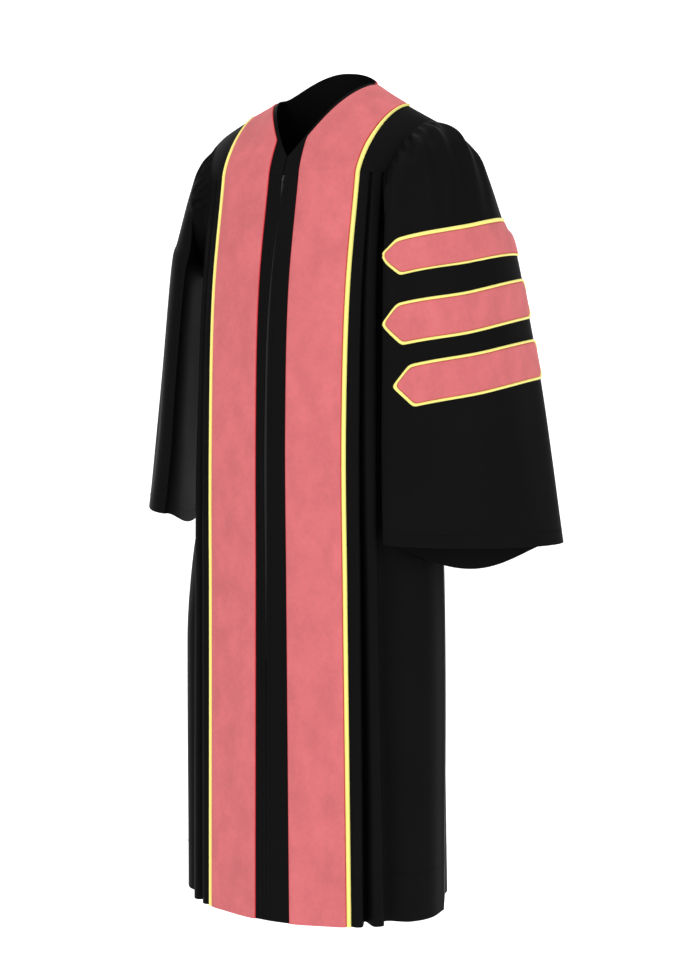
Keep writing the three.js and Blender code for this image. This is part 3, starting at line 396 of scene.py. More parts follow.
def normals(points, sense, closed=False):
    """Unit normals of a grid: along its columns crossed with along its rows."""
    if closed:
        wrapped = np.concatenate([points[:, -1:], points, points[:, :1]], 1)
        across = wrapped[:, 2:] - wrapped[:, :-2]
    else:
        across = np.gradient(points, axis=1)
    found = np.cross(across, np.gradient(points, axis=0)) * sense
    return found / np.maximum(np.linalg.norm(found, axis=-1, keepdims=True), 1e-9)


def flip(points, side):
    """Points or normals mirrored to the right when the side is -1."""
    return points * np.array([side, 1, 1])


def front_flat(across, drop):
    """Points of a front between its slit and its pleats, in the left side's own sense."""
    return front_point(across, drop, soft_folds(FRONT_FOLDS, across, drop))


def front_grid(side):
    """A front from its slit to its side: plain cloth under the band, two pleats, a soft side."""
    drop = body_levels()
    edge = side * slit["centre"](drop) + slit["half"](drop)
    inner, outer = band_edges(side, drop)
    flat = [edge, edge + TAPE_HALF, *(mix(inner, outer, k / 4) for k in range(5))]
    columns = [front_flat(across, drop) for across in flat]
    angle = 0
    for pleat in zip(*PLEATS.values()):
        across = mix(pleat[0], pleat[1], fallen(drop))
        angle = side_angle("front", across, drop)
        columns.append(body_point(angle, drop, mix(pleat[2], pleat[3], grown(drop))))
    corner = side_angle("front", FRONT_CORNER, YOKE)
    beside, below = smooth(drop, *SIDE_PRESSED), smooth(drop, *SIDE_FREE)
    for share, sleeve_out, hem_out in zip(*FRONT_SIDE.values()):
        onward = mix(angle, seam_angle(corner, drop), share)
        out = mix(sleeve_out * beside, hem_out, below)
        place = SIDE_FOLDS[0] + SIDE_FOLDS[1] * share
        out = out + soft_folds(FRONT_FOLDS, place, drop) * (share < 1)
        columns.append(body_point(onward, drop, out))
    return drop, densify(columns, 7)


def back_grid():
    """The back from the left side to the right: gathered folds that open towards the hem."""
    drop = body_levels()
    corner = side_angle("back", BACK_CORNER, YOKE)
    spread = np.sqrt(np.clip(fallen(drop), 0, 1))
    half = []
    for yoke_turn, hem_turn, yoke_out, hem_out in zip(*BACK_FOLDS.values()):
        turn = np.radians(mix(yoke_turn, hem_turn, spread))
        half.append((turn, mix(yoke_out, hem_out, grown(drop))))
    half.append((seam_angle(corner, drop), 0 * drop))
    turns = [(-turn, out) for turn, out in half[:0:-1]] + half
    points = densify([body_point(math.pi + turn, drop, out) for turn, out in turns], 10)
    behind = points[..., 1] - body["centre_y"](drop)[:, None]
    turned = np.degrees(np.arctan2(-points[..., 0], behind))
    column = np.arange(points.shape[1])
    edge = np.minimum(1, np.minimum(column, column[::-1]) / EDGE_COLUMNS)
    folds = soft_folds(BACK_CREASES, turned, drop[:, None])
    folds = folds + gathers(BACK_GATHERS, np.radians(turned), drop[:, None])
    return drop, points + normals(points, -1) * (folds * edge)[..., None]


# Yoke


def rounded(share, across):
    """Shares forward and down of a rounded shoulder, at a share of the way round it."""
    power = 2 / mix(ROUND_CENTRE, ROUND_SHOULDER, np.abs(across) / SHOULDER_HALF)
    turn = share * math.pi / 2
    return np.sin(turn) ** power, 1 - np.maximum(np.cos(turn), 0) ** power


def crest_y(across):
    """The shoulder line's set-back, which grows evenly to the shoulder tip."""
    return SHOULDER_SET_BACK * np.abs(across) / SHOULDER_HALF


def crest_z(side, across):
    """Height of the shoulder line, which differs a little on the two sides."""
    away = np.abs(across)
    return np.where(np.asarray(side) < 0, crest["right"](away), crest["left"](away))


def front_yoke_point(side, across, share):
    """Point of a front yoke, by distance across and share down from the shoulder line."""
    forth, down = rounded(share, across)
    seam_y = body["centre_y"](YOKE) - section_depth("front", across, YOKE)
    y = mix(crest_y(across), seam_y, forth)
    return np.stack([across, y, mix(crest_z(side, across), -YOKE + SEAM_GAP / 2, down)], -1)


def yoke_edges(side, share):
    """Distances across of a front yoke: neck edge, band's inner and outer edge, armhole."""
    slit_edge = side * slit["centre"](YOKE) + slit["half"](YOKE) * YOKE_SLIT_SHARE
    neck = NECK_HALF * (1 - (share / NECK_V_SHARE) ** NECK_V_CURVE)
    edge = np.maximum(neck, slit_edge)
    inner = np.maximum(edge + NECK_MARGIN, band["left_inner"](YOKE))
    late, even = BAND_SWEEP["right" if side < 0 else "left"]
    outer = mix(SHOULDER_BAND_OUTER, band["outer"](YOKE), 1 - (1 - share ** late) ** even)
    return edge, inner, outer, mix(FRONT_CORNER, SHOULDER_HALF, (1 - share) ** FRONT_CORNER_CURVE)


def yoke_levels():
    """Shares down of a front yoke's rows, with one at the point of the neck's V."""
    return np.unique(np.concatenate([np.linspace(0.004, 1, 44), [NECK_V_SHARE]]))


def yoke_front_grid(side):
    """A front yoke from the neck's V to the armhole, rounded over the shoulder."""
    share = yoke_levels()
    edges = yoke_edges(side, share)
    steps = [mix(edges[k], edges[k + 1], np.linspace(0, 1, n, endpoint=False)[:, None])
             for k, n in enumerate((6, 14, 12))]
    across = np.concatenate([*steps, edges[3][None]]).T
    return front_yoke_point(side, across, share[:, None])


def back_yoke_point(out, share):
    """Point of the back yoke, by share of the way to the shoulder tip and share down."""
    away = np.abs(out)
    past = np.maximum(away - NECK_SHARE, 0) / (1 - NECK_SHARE)
    on_neck = math.pi / 2 * (1 - np.minimum(away / NECK_SHARE, 1))
    top_x = mix(NECK_HALF * np.cos(on_neck), SHOULDER_HALF, past)
    top_y = BACK_NECK_DEPTH * np.sin(on_neck) + crest_y(top_x) * np.cos(on_neck)
    neck_z = mix(crest_z(out, NECK_HALF), BACK_NECK_RISE, np.sin(on_neck) ** BACK_NECK_CURVE)
    top_z = np.where(past > 0, crest_z(out, top_x), neck_z)
    seam_x = BACK_CORNER * away
    seam_y = body["centre_y"](YOKE) + section_depth("back", seam_x, YOKE)
    forth, down = rounded(share, top_x)
    x = mix(top_x, seam_x, share) * np.sign(out)
    return np.stack([x, mix(top_y, seam_y, forth), mix(top_z, -YOKE + SEAM_GAP / 2, down)], -1)


def back_oval(across, down, turn):
    """Place on the back yoke of an oval round the neck, by its distance across and its depth."""
    out = mix(NECK_SHARE, 1, (across - NECK_HALF) / (SHOULDER_HALF - NECK_HALF))
    return out * np.cos(turn), down * np.sin(turn)


def back_yoke_at(out, down):
    """Points of the back yoke, set back by a seam's gap along the shoulder line."""
    points = back_yoke_point(out, np.minimum(down, 1))
    points[..., 1] += SEAM_GAP * np.maximum(1 - down * SEAM_FADE, 0)
    return points


def yoke_back_grid():
    """The back yoke in rows round the neck, from its neck edge to its seams."""
    turn = np.linspace(0, math.pi, 129)[None, :]
    reach = 1 / np.maximum(np.abs(np.cos(turn)), np.sin(turn))
    edge = (reach * np.cos(turn), reach * np.sin(turn))
    rows = [(NECK_HALF, 0.0), (NECK_HALF + NECK_MARGIN, BACK_BAND_INNER),
            (SHOULDER_BAND_OUTER, BACK_BAND_OUTER)]
    ovals = [back_oval(across, down, turn) for across, down in rows] + [edge]
    places = []
    for (out0, down0), (out1, down1), count in zip(ovals, ovals[1:], (3, 18, 20)):
        share = np.linspace(0, 1, count, endpoint=False)[:, None]
        places.append((mix(out0, out1, share), mix(down0, down1, share)))
    places.append(edge)
    out, down = (np.concatenate([place[k] for place in places]) for k in (0, 1))
    return back_yoke_at(out, down)


# Sleeves


def plain_sleeve(hang, at, angle):
    """Point of the plain sleeve, by section number and angle from its outer line to the front."""
    value = {key: section[key](at) for key in section}
    turn = np.radians(value["turn"] * hang["turn"])
    low = (at / LAST_SECTION) ** 2
    outward, forward = np.cos(angle), np.sin(angle)
    keys = ("outer", "rise", "front", "back")
    outer, rise, front, back = (value[hang["kind"] + key] for key in keys)
    off = np.where(outward > 0, outer, value["inner"]) * outward
    dip = np.abs(outward) ** mix(INNER_DIP, MOUTH_DIP, low)
    rise = np.where(outward > 0, rise, value["fall"] * mix(1, hang["fall"], low) * dip) * outward
    length = np.where(forward > 0, front, back) * forward
    x = value["x"] - hang["draw"] * smooth(at, 0, DRAW_WHOLE)
    x = x + np.cos(turn) * off - np.sin(turn) * length
    y = SLEEVE_MID_Y - np.sin(turn) * off - np.cos(turn) * length
    lean = value["lean"] + hang["mouth_lean"] * smooth(at, MOUTH_LEAN_FROM, LAST_SECTION)
    z = -value["drop"] + hang["lift"] * low + rise - lean * forward
    return np.stack(np.broadcast_arrays(x, y, z), -1)


def armhole_loop(side):
    """Armhole edge by angle, in the left side's own sense: down the front, up the back."""
    drop, front = front_grid(side)
    _, back = back_grid()
    rows = np.count_nonzero(drop <= UNDERARM)
    down = np.concatenate([yoke_front_grid(side)[:, -1], front[:rows, -1]])
    column = 0 if side > 0 else -1
    yoke_edge = yoke_back_grid()[-1]
    quarter = (len(yoke_edge) - 1) // 4
    corner = yoke_edge[1:quarter + 1][::-1] if side > 0 else yoke_edge[-quarter - 1:-1]
    up = flip(np.concatenate([back[:rows - 1, column][::-1], corner]), side)
    up = np.concatenate([down[-1:], up, down[:1]])

    def half(points, share):
        marks = marks_of(points)
        return along_line(points, marks, np.clip(share, 0, 1) * marks[-1])

    def at(angle):
        turn = np.mod(angle, 2 * math.pi)
        ahead, behind = half(down, turn / math.pi), half(up, turn / math.pi - 1)
        return np.where((turn <= math.pi)[..., None], ahead, behind)

    return at


def sleeve_relief(at, angle):
    """Fine gathers close to the armhole, wider ones below them, and the soft folds, each a bell
    across its line that swells and fades on the way down."""
    degrees = np.degrees(np.where(angle > math.pi, angle - 2 * math.pi, angle))
    open_part = 1 - smooth(np.abs(degrees), *GATHERED_TURN)
    total = gathers(SLEEVE_GATHERS, angle, at) * open_part
    for place, to, width, depth, begin, deep, end in zip(*SLEEVE_FOLDS.values()):
        line = mix(place, to, at / LAST_SECTION)
        turn = (degrees - line + 180) % 360 - 180
        swell = smooth(at, begin, deep) * (1 - smooth(at, deep, end))
        total = total + depth * swell * np.exp(-((turn / width) ** 2))
    return total


def sleeve_grid(name):
    """A sleeve from its armhole to its mouth, with the sections of its rows and its normals."""
    hang = HANG[name]
    head = np.linspace(0, HEAD_SECTION, 46, endpoint=False)
    at = np.concatenate([head, np.linspace(HEAD_SECTION, LAST_SECTION, 74)])
    angle = np.linspace(0, 2 * math.pi, SLEEVE_COLUMNS, endpoint=False)
    armhole = armhole_loop(hang["side"])(angle)
    plain = plain_sleeve(hang, at[:, None], angle[None, :])
    hold = np.maximum(1 - at / ARMHOLE_BLEND, 0) ** 2
    pull = armhole - plain_sleeve(hang, np.zeros_like(angle), angle)
    plain = plain + pull * hold[:, None, None]
    relief = sleeve_relief(at[:, None], angle[None, :])
    points = plain + normals(plain, 1, True) * relief[..., None]
    return at, points, normals(points, 1, True)


class SleeveSkin:
    """Points and normals of a sleeve between the points of its grid."""

    def __init__(self, name):
        self.at, self.points, self.normals = sleeve_grid(name)
        fine = np.linspace(0, LAST_SECTION, 2001)
        self.drops, self.sections = section["drop"](fine), fine

    def sample(self, at, angle):
        """Point and normal by section and angle, mixed from the four grid points around."""
        row = np.interp(at, self.at, np.arange(len(self.at)))
        column = np.mod(angle / (2 * math.pi), 1) * SLEEVE_COLUMNS
        i = np.clip(row.astype(int), 0, len(self.at) - 2)
        j = column.astype(int) % SLEEVE_COLUMNS
        k = (j + 1) % SLEEVE_COLUMNS
        f, g = (row - i)[..., None], (column - column.astype(int))[..., None]
        found = []
        for grid in (self.points, self.normals):
            above, below = (mix(grid[r, j], grid[r, k], g) for r in (i, i + 1))
            found.append(mix(above, below, f))
        return found

    def section_at(self, drop):
        """Section whose middle line is at a drop."""
        return np.interp(drop, self.drops, self.sections)

    def bar(self, drop, rise, upper, centre):
        """A function from distances along and up on a bar to points and normals of the sleeve. The
        bar's front end is lifted by its rise, and its upper edge by a share of that."""
        angle = np.linspace(-math.pi, math.pi, 1441)

        def ring(level):
            return self.sample(np.full_like(angle, self.section_at(level)), angle)[0]

        along = marks_of(ring(drop))
        along = along - along[len(angle) // 2]
        tall = np.linalg.norm(ring(drop + BAR_ROOM) - ring(drop - BAR_ROOM), axis=-1)

        def place(distance, up):
            lifted = rise * mix(1, upper, smooth(up, -BAR_ROOM, BAR_ROOM))
            up = up + lifted * smooth(distance, *BAR_RISE)
            distance = distance + centre
            turn = np.interp(distance, along, angle)
            lower = 2 * BAR_ROOM * up / np.interp(distance, along, tall)
            return self.sample(self.section_at(drop - lower), turn)

        return place


# Meshes


def grid_faces(ids, closed=False):
    """Quads of a grid of vertex numbers."""
    if closed:
        ids = np.concatenate([ids, ids[:, :1]], 1)
    return np.stack([ids[:-1, :-1], ids[1:, :-1], ids[1:, 1:], ids[:-1, 1:]], -1).reshape(-1, 4)


def shell_faces(rows, columns, closed):
    """Quads of a closed shell: an outer grid, an inner grid and the rims between them."""
    outer = np.arange(rows * columns).reshape(rows, columns)
    inner = outer + rows * columns
    faces = [grid_faces(outer, closed), grid_faces(inner, closed)[:, ::-1]]
    wrap = (lambda ids: np.append(ids, ids[0])) if closed else (lambda ids: ids)

    def rim(top, low):
        top, low = wrap(top), wrap(low)
        faces.append(np.stack([top[:-1], top[1:], low[1:], low[:-1]], -1))

    rim(outer[0], inner[0])
    rim(inner[-1], outer[-1])
    if not closed:
        rim(inner[:, 0], outer[:, 0])
        rim(outer[:, -1], inner[:, -1])
    return np.concatenate(faces)


def make_mesh(name, points, faces, slot, turned=False, values=None):
    """A piece from points in millimetres and quads, riding on the gown's one body. Its material
    has its slot's name."""
    mesh = bpy.data.meshes.new(name)
    order = faces[:, ::-1] if turned else faces
    mesh.from_pydata((points * MM).tolist(), [], order.tolist())
    mesh.polygons.foreach_set("use_smooth", np.ones(len(faces), bool))
    mesh.set_sharp_from_angle(angle=math.radians(SHARP_ANGLE))
    for key, value in (values or {}).items():
        layer = mesh.attributes.new(key, "FLOAT", "POINT")
        layer.data.foreach_set("value", np.asarray(value, np.float32).ravel())
    mesh.materials.append(material(slot))
    piece = bpy.data.objects.new(name, mesh)
    bpy.context.scene.collection.objects.link(piece)
    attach(piece, "root")
    return piece


def make_shell(name, points, normal, outer, inner, slot, turned=False, closed=False, edge=None):
    """A thin closed shell between two offsets of a grid along its normals."""
    outer, inner = (np.broadcast_to(v, points.shape[:2])[..., None] for v in (outer, inner))
    both = np.concatenate([points + normal * outer, points + normal * inner]).reshape(-1, 3)
    values = None
    # An edge share, when given, becomes a point attribute: the velvet's painted shade along its cut
    # edges, whole on the inner face
    if edge is not None:
        values = {"edge": np.concatenate([edge.ravel(), np.ones(edge.size)])}
    return make_mesh(name, both, shell_faces(*points.shape[:2], closed), slot, turned, values)


def make_tube(name, rings, slot, loop=False, turned=False):
    """A tube through rings of points, closed into a loop or with flat ends."""
    count, sides = rings.shape[:2]
    ids = np.arange(count * sides).reshape(count, sides)
    path = np.concatenate([ids, ids[:1]]) if loop else ids
    faces = [grid_faces(path, True)]
    if not loop:
        for end in (ids[0], ids[-1][::-1]):
            fan = [(end[0], end[k], end[k + 1], end[k + 2]) for k in range(1, sides - 2, 2)]
            faces.append(np.array(fan))
    return make_mesh(name, rings.reshape(-1, 3), np.concatenate(faces), slot, turned)


# Materials


class Value:
    """A node's output with arithmetic: each operator adds a Math node."""

    def __init__(self, tree, socket):
        self.tree, self.socket = tree, socket

    def math(self, operation, other):
        node = self.tree.nodes.new("ShaderNodeMath")
        node.operation = operation
        for slot, item in zip(node.inputs, (self, other)):
            connect(self.tree, slot, item)
        return Value(self.tree, node.outputs[0])

    def __add__(self, other):
        return self.math("ADD", other)

    def __mul__(self, other):
        return self.math("MULTIPLY", other)

    __radd__ = __add__
    __rmul__ = __mul__


def connect(tree, slot, item):
    """Links a value to a node's input, or sets the input to a plain number or colour."""
    if isinstance(item, Value):
        tree.links.new(item.socket, slot)
    else:
        slot.default_value = item


class Finish:
    """A material with one surface shader and the nodes that feed it."""

    def __init__(self, name, **inputs):
        self.material = bpy.data.materials.new(name)
        self.material.use_nodes = True
        self.tree = self.material.node_tree
        self.shader = self.tree.nodes["Principled BSDF"]
        self.set(**inputs)

    def set(self, **inputs):
        """Sets or links the surface shader's inputs by name."""
        for key, item in inputs.items():
            connect(self.tree, self.shader.inputs[key.replace("_", " ")], item)

    def add(self, kind, output, settings=None, **inputs):
        """Any other node: its settings, its inputs by name, and the output that is wanted."""
        node = self.tree.nodes.new(kind)
        for key, item in (settings or {}).items():
            setattr(node, key, item)
        for key, item in inputs.items():
            connect(self.tree, node.inputs[key.replace("_", " ")], item)
        return Value(self.tree, node.outputs[output])

    def noise(self, scale, detail=2.0, stretch=(1, 1, 1)):
        """Cloudy noise from 0 to 1 over stretched object coordinates, by its scale per metre."""
        here = self.add("ShaderNodeTexCoord", "Object")
        here = self.add("ShaderNodeMapping", "Vector", Vector=here, Scale=stretch)
        return self.add("ShaderNodeTexNoise", "Fac", Vector=here, Scale=scale, Detail=detail)

    def blend(self, share, a, b):
        """Colour a at share 0, colour b at share 1."""
        node = self.tree.nodes.new("ShaderNodeMix")
        node.data_type = "RGBA"
        for slot, item in zip((node.inputs[0], node.inputs[6], node.inputs[7]), (share, a, b)):
            connect(self.tree, slot, item)
        return Value(self.tree, node.outputs[2])

    def bump(self, height, strength, distance):
        """Tilts the surface by the slope of a height."""
        inputs = dict(Height=height, Strength=strength, Distance=distance)
        self.set(Normal=self.add("ShaderNodeBump", "Normal", **inputs))


def colour(value, share=1.0):
    """A colour, darker or lighter by a share, with full cover."""
    return (*(part * share for part in value), 1.0)


def black_cloth(name, tone):
    """Black satin-like cloth: a faint twill and a roughness that drifts slowly."""
    finish = Finish(name, Specular_IOR_Level=0.014)
    drift = finish.noise(7.0, 3.0)
    twill = finish.noise(1500.0, 1.0, (1.0, 1.0, 0.35))
    finish.set(Roughness=drift * 0.16 + 0.44)
    finish.set(Base_Color=finish.blend(drift, colour(tone, 0.85), colour(tone, 1.2)))
    finish.bump(twill, 0.12, 0.0004)
    return finish.material


def velvet(name, tone):
    """Velvet: mottled where the pile leans, with painted shade, darker and redder, along its cut
    edges where they turn under.
    """
    finish = Finish(name, Roughness=0.88, Specular_IOR_Level=0.15)
    finish.set(Sheen_Weight=0.12, Sheen_Roughness=0.5, Sheen_Tint=(1.0, 0.72, 0.70, 1.0))
    mottle = finish.noise(34.0, 4.0, (1.0, 1.0, 0.6)) * 0.7 + finish.noise(160.0, 3.0) * 0.3
    lean = finish.add("ShaderNodeMapRange", "Result", Value=mottle, From_Min=0.36, From_Max=0.64)
    pile = finish.blend(lean, colour(tone, 0.90), colour(tone, 1.06))
    edge = finish.add("ShaderNodeAttribute", "Fac", {"attribute_name": "edge"})
    # Painted shade: the colour of the cut edges turning under, mixed in by the edge attribute
    turned_edge_shade = (tone[0] * 0.95, tone[1] * 0.16, tone[2] * 0.20, 1.0)
    finish.set(Base_Color=finish.blend(edge, pile, turned_edge_shade))
    finish.bump(finish.noise(1400.0, 2.0), 0.35, 0.0006)
    return finish.material


def satin_cord(name, tone):
    """Piping: bright satin with a fine lengthwise grain."""
    finish = Finish(name, Specular_IOR_Level=0.35, Sheen_Weight=0.1)
    grain = finish.noise(900.0, 2.0)
    finish.set(Roughness=grain * 0.2 + 0.42)
    finish.set(Base_Color=finish.blend(grain, colour(tone, 0.94), colour(tone, 1.0)))
    finish.bump(grain, 0.15, 0.0003)
    return finish.material


def plain_finish(name, tone, roughness, metallic=0.0):
    """A plain finish with a little unevenness in its gloss."""
    finish = Finish(name, Metallic=metallic, Base_Color=colour(tone))
    finish.set(Roughness=finish.noise(300.0) * 0.1 + (roughness - 0.05))
    return finish.material


MATERIALS = {}
# The maker of each slot's material, the name of its colour, then roughness and metal
MAKERS = {
    "black_cloth": (black_cloth, "cloth"),
    "rose_velvet": (velvet, "velvet"),
    "yellow_piping": (satin_cord, "piping"),
    "black_tape": (plain_finish, "tape", 0.6),
    "slider_metal": (plain_finish, "metal", 0.35, 1.0),
}


def material(slot):
    """A slot's material, made once from the colours that the user chose."""
    if slot not in MATERIALS:
        maker, tone, *more = MAKERS[slot]
        MATERIALS[slot] = maker(slot, getattr(bpy.context.scene.gown_colours, tone), *more)
    return MATERIALS[slot]


# Settings


def size_property(name, description, default):
    """A length in metres that the panel shows."""
    return bpy.props.FloatProperty(
        name=name, description=description, default=default, unit="LENGTH")


class GownSizes(bpy.types.PropertyGroup):
    """Thicknesses and trim, in metres."""

    cloth: size_property("Cloth", "Thickness of the black cloth", 0.0014)
    velvet: size_property("Velvet", "Height of the velvet's pile", 0.0018)
    band_piping: size_property("Band piping", "Width of the piping on the bands", 0.0061)
    bar_piping: size_property("Bar piping", "Width of the piping round the bars", 0.0044)
    bar_width: size_property("Bar width", "Width of a sleeve bar", 0.056)
    hem_turn: size_property("Hem", "Height of the hem's stitching", 0.075)
    stitch: size_property("Stitch", "Length of a stitch", 0.0032)


def tone_property(name, description, default):
    """A colour that the panel shows."""
    return bpy.props.FloatVectorProperty(
        name=name, description=description, default=default, subtype="COLOR", size=3,
        min=0.0, max=1.0)


class GownColours(bpy.types.PropertyGroup):
    """Colours of the gown and its floor."""

    cloth: tone_property("Cloth", "Black cloth", (0.0055, 0.0055, 0.0057))
    velvet: tone_property("Velvet", "Rose velvet", (0.62, 0.150, 0.162))
    piping: tone_property("Piping", "Yellow piping", (0.98, 0.90, 0.24))
    tape: tone_property("Tape", "Zip tape and teeth", (0.006, 0.006, 0.0065))
    metal: tone_property("Metal", "Zip slider", (0.03, 0.03, 0.031))
    floor: tone_property("Floor", "Floor and backdrop", (0.9, 0.9, 0.9))


def sizes():
    """The sizes in millimetres."""
    group = bpy.context.scene.gown_sizes
    return {key: getattr(group, key) / MM for key in GownSizes.__annotations__}


# Pieces


def cloth_piece(name, points, sense, side=1, closed=False):
    """A panel of black cloth as a shell inside its solid's outer face."""
    normal = flip(normals(points, sense, closed), side)
    turned = (sense > 0) != (side < 0)
    piece = make_shell(name + "_cloth", flip(points, side), normal, 0.0, -sizes()["cloth"],
                       "black_cloth", turned, closed)
    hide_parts(name)


def velvet_piece(name, points, normal, side, pile, edge):
    """Velvet as a shell that stands off the cloth: a quarter of its height at its cut edges, where
    the pile's share is 0, and the whole where it is 1."""
    # The edge shares carry the painted shade along the velvet's cut edges
    outer = VELVET_LIFT + sizes()["velvet"] * (0.25 + 0.75 * pile)
    piece = make_shell(name + "_pile", flip(points, side), flip(normal, side), outer,
                       VELVET_LIFT * 0.4, "rose_velvet", side > 0, edge=edge)
    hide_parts(name)


def piping_piece(name, points, normal, side, height, loop=False):
    """Piping as a tube: an arch of a half sine over the columns of a strip, with a flat base."""
    arch = height * np.sin(np.linspace(0, math.pi, points.shape[1]))
    top = points + normal * (VELVET_LIFT + arch)[:, None]
    low = (points + normal * VELVET_LIFT * 0.5)[:, -2:0:-1]
    rings = flip(np.concatenate([top, low], 1), side)
    piece = make_tube(name + "_cord", rings, "yellow_piping", loop, side > 0)
    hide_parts(name)


def cut_edges(value, middle):
    """Numbers across a strip of velvet: the value near each cut edge, 0 for the middle columns."""
    return np.array([*value, *[0] * middle, *value[::-1]])


class GOWN_OT_panels(bpy.types.Operator):
    """Makes the back, the fronts and the yokes"""

    bl_idname = "gown.panels"
    bl_label = "Panels and yokes"

    def execute(self, context):
        cloth_piece("back", back_grid()[1], -1)
        cloth_piece("yoke_back", yoke_back_grid(), -1)
        for name, hang in HANG.items():
            cloth_piece("front_" + name, front_grid(hang["side"])[1], -1, hang["side"])
            cloth_piece("yoke_front_" + name, yoke_front_grid(hang["side"]), -1, hang["side"])
        return {"FINISHED"}


class GOWN_OT_sleeves(bpy.types.Operator):
    """Makes the two bell sleeves"""

    bl_idname = "gown.sleeves"
    bl_label = "Sleeves"

    def execute(self, context):
        for name, hang in HANG.items():
            cloth_piece("sleeve_" + name, sleeve_grid(name)[1], 1, hang["side"], True)
        return {"FINISHED"}


def band_rows(side, shares):
    """Rows of a band from the hem up the front, over the yoke and round to the centre back. The
    shares run across from the velvet's inner edge at 0 to the piping's outer edge at 1."""
    drop = body_levels()[::-1]
    inner, outer = band_edges(side, drop)
    on_front = front_flat(mix(inner[:, None], outer[:, None], shares), drop[:, None])
    share = yoke_levels()[-2::-1]
    _, inner, outer, _ = yoke_edges(side, share)
    on_yoke = front_yoke_point(side, mix(inner[:, None], outer[:, None], shares), share[:, None])
    turn = np.linspace(0, math.pi / 2, 65)[1:, None]
    across = mix(NECK_HALF + NECK_MARGIN, SHOULDER_BAND_OUTER, shares)
    out, down = back_oval(across, mix(BACK_BAND_INNER, BACK_BAND_OUTER, shares), turn)
    on_back = flip(back_yoke_at(out * side, down), side)
    on_back[-1, :, 0] += SEAM_GAP / 2
    return np.concatenate([on_front, on_yoke, on_back])


class GOWN_OT_bands(bpy.types.Operator):
    """Makes the velvet bands and their piping"""

    bl_idname = "gown.bands"
    bl_label = "Velvet bands"

    def execute(self, context):
        velvet_share = 1 - (sizes()["band_piping"] + 2 * SEAM_GAP) / BAND_WIDTH
        rim = np.array([0, 0.006, 0.02])
        shares = velvet_share * np.concatenate([rim, np.linspace(0.06, 0.94, 15), 1 - rim[::-1]])
        pile = 1 - cut_edges(PILE_EDGE, 15)
        for name, hang in HANG.items():
            side = hang["side"]
            points = band_rows(side, shares)
            # Painted shade along the band's two cut edges: whole at the edge column, less in the
            # next
            edge = np.broadcast_to(cut_edges((1, 0.7), 17), points.shape[:2])
            node = "velvet_band_" + name
            velvet_piece(node, points, normals(points, 1), side, pile, edge)
            points = band_rows(side, np.linspace(velvet_share + 0.004, 1, 9))
            node = "band_piping_" + name
            piping_piece(node, points, normals(points, 1), side, BAND_PIPING_HEIGHT)
        return {"FINISHED"}


def bar_outline(tip, out):
    """A bar's outline from its back tip round by the upper side, moved out, with its front tip at a
    share of half the width. Its corners are rounded: each point is a mean of those near it."""
    along = BAR_CORNERS["along"]
    up = np.where(along == along.max(), tip, BAR_CORNERS["up"])
    corners = np.stack([along, up * sizes()["bar_width"] / 2], -1)
    ahead = np.roll(corners, -1, 0) - corners
    normal = np.stack([-ahead[:, 1], ahead[:, 0]], -1)
    normal /= np.linalg.norm(normal, axis=-1, keepdims=True)
    mitre = normal + np.roll(normal, 1, 0)
    mitre /= (mitre * normal).sum(-1, keepdims=True)
    corners = corners + mitre * out
    closed = np.concatenate([corners, corners[:1]])
    marks = marks_of(closed)
    path = along_line(closed, marks, np.linspace(0, marks[-1], OUTLINE_STEPS, endpoint=False))
    reach = range(-CORNER_REACH, CORNER_REACH + 1)
    weights = np.array([math.exp(-(k / CORNER_SOFTNESS) ** 2) for k in reach])
    return sum(w * np.roll(path, k, 0) for w, k in zip(weights / weights.sum(), reach))


class GOWN_OT_bars(bpy.types.Operator):
    """Makes the velvet bars on the sleeves and the piping round them"""

    bl_idname = "gown.bars"
    bl_label = "Sleeve bars"

    def execute(self, context):
        for name, hang in HANG.items():
            skin, side = SleeveSkin(name), hang["side"]
            bars = zip(*BARS.values(), hang["bars"])
            for number, (drop, rise, upper, tip, shift) in enumerate(bars, 1):
                place = skin.bar(drop, rise, upper, -shift)
                self.bar(place, tip, "%s_%d" % (name, number), side)
                self.piping(place, tip, "%s_%d" % (name, number), side)
        return {"FINISHED"}

    def bar(self, place, tip, name, side):
        """Velvet in columns from the back tip to the front one, between the outline's upper and
        lower lines. The columns crowd towards the tips as a sine does."""
        path = bar_outline(tip, 0.0)
        back, front = np.argmin(path[:, 0]), np.argmax(path[:, 0])
        path = np.roll(path, -back, 0)
        turn = (front - back) % OUTLINE_STEPS
        upper, lower = path[:turn + 1], np.concatenate([path[turn:], path[:1]])[::-1]
        middle, half = (path[turn, 0] + path[0, 0]) / 2, (path[turn, 0] - path[0, 0]) / 2
        along = middle + half * np.sin(np.linspace(-1, 1, 150) * math.pi / 2)
        high, low = (np.interp(along, line[:, 0], line[:, 1]) for line in (upper, lower))
        rim = np.array([0, 0.0125, 0.035])
        down = np.concatenate([rim, np.linspace(0.1, 0.9, 13), 1 - rim[::-1]])
        points, normal = place(along[None, :], mix(high, low, down[:, None]))
        tips = np.clip((half - np.abs(along - middle)) / BAR_TIP_RIM, 0, 1)
        pile = np.minimum(1 - cut_edges(PILE_EDGE, 13)[:, None], tips[None, :])
        # Painted shade along the bar's cut edges and tips, where its pile is lower
        edge = np.clip(1 - pile * BAR_EDGE_SHADE, 0, 1)
        velvet_piece("bar_" + name, points, normal, side, pile, edge)

    def piping(self, place, tip, name, side):
        """Piping on a strip round the bar, between two outlines moved out."""
        width = sizes()["bar_piping"]
        lines = [bar_outline(tip, BAR_PIPING_GAP + off * width) for off in np.linspace(0, 1, 7)]
        path = np.stack(lines, 1)
        points, normal = place(path[..., 0], path[..., 1])
        piping_piece("bar_piping_" + name, points, normal, side, BAR_PIPING_HEIGHT, True)


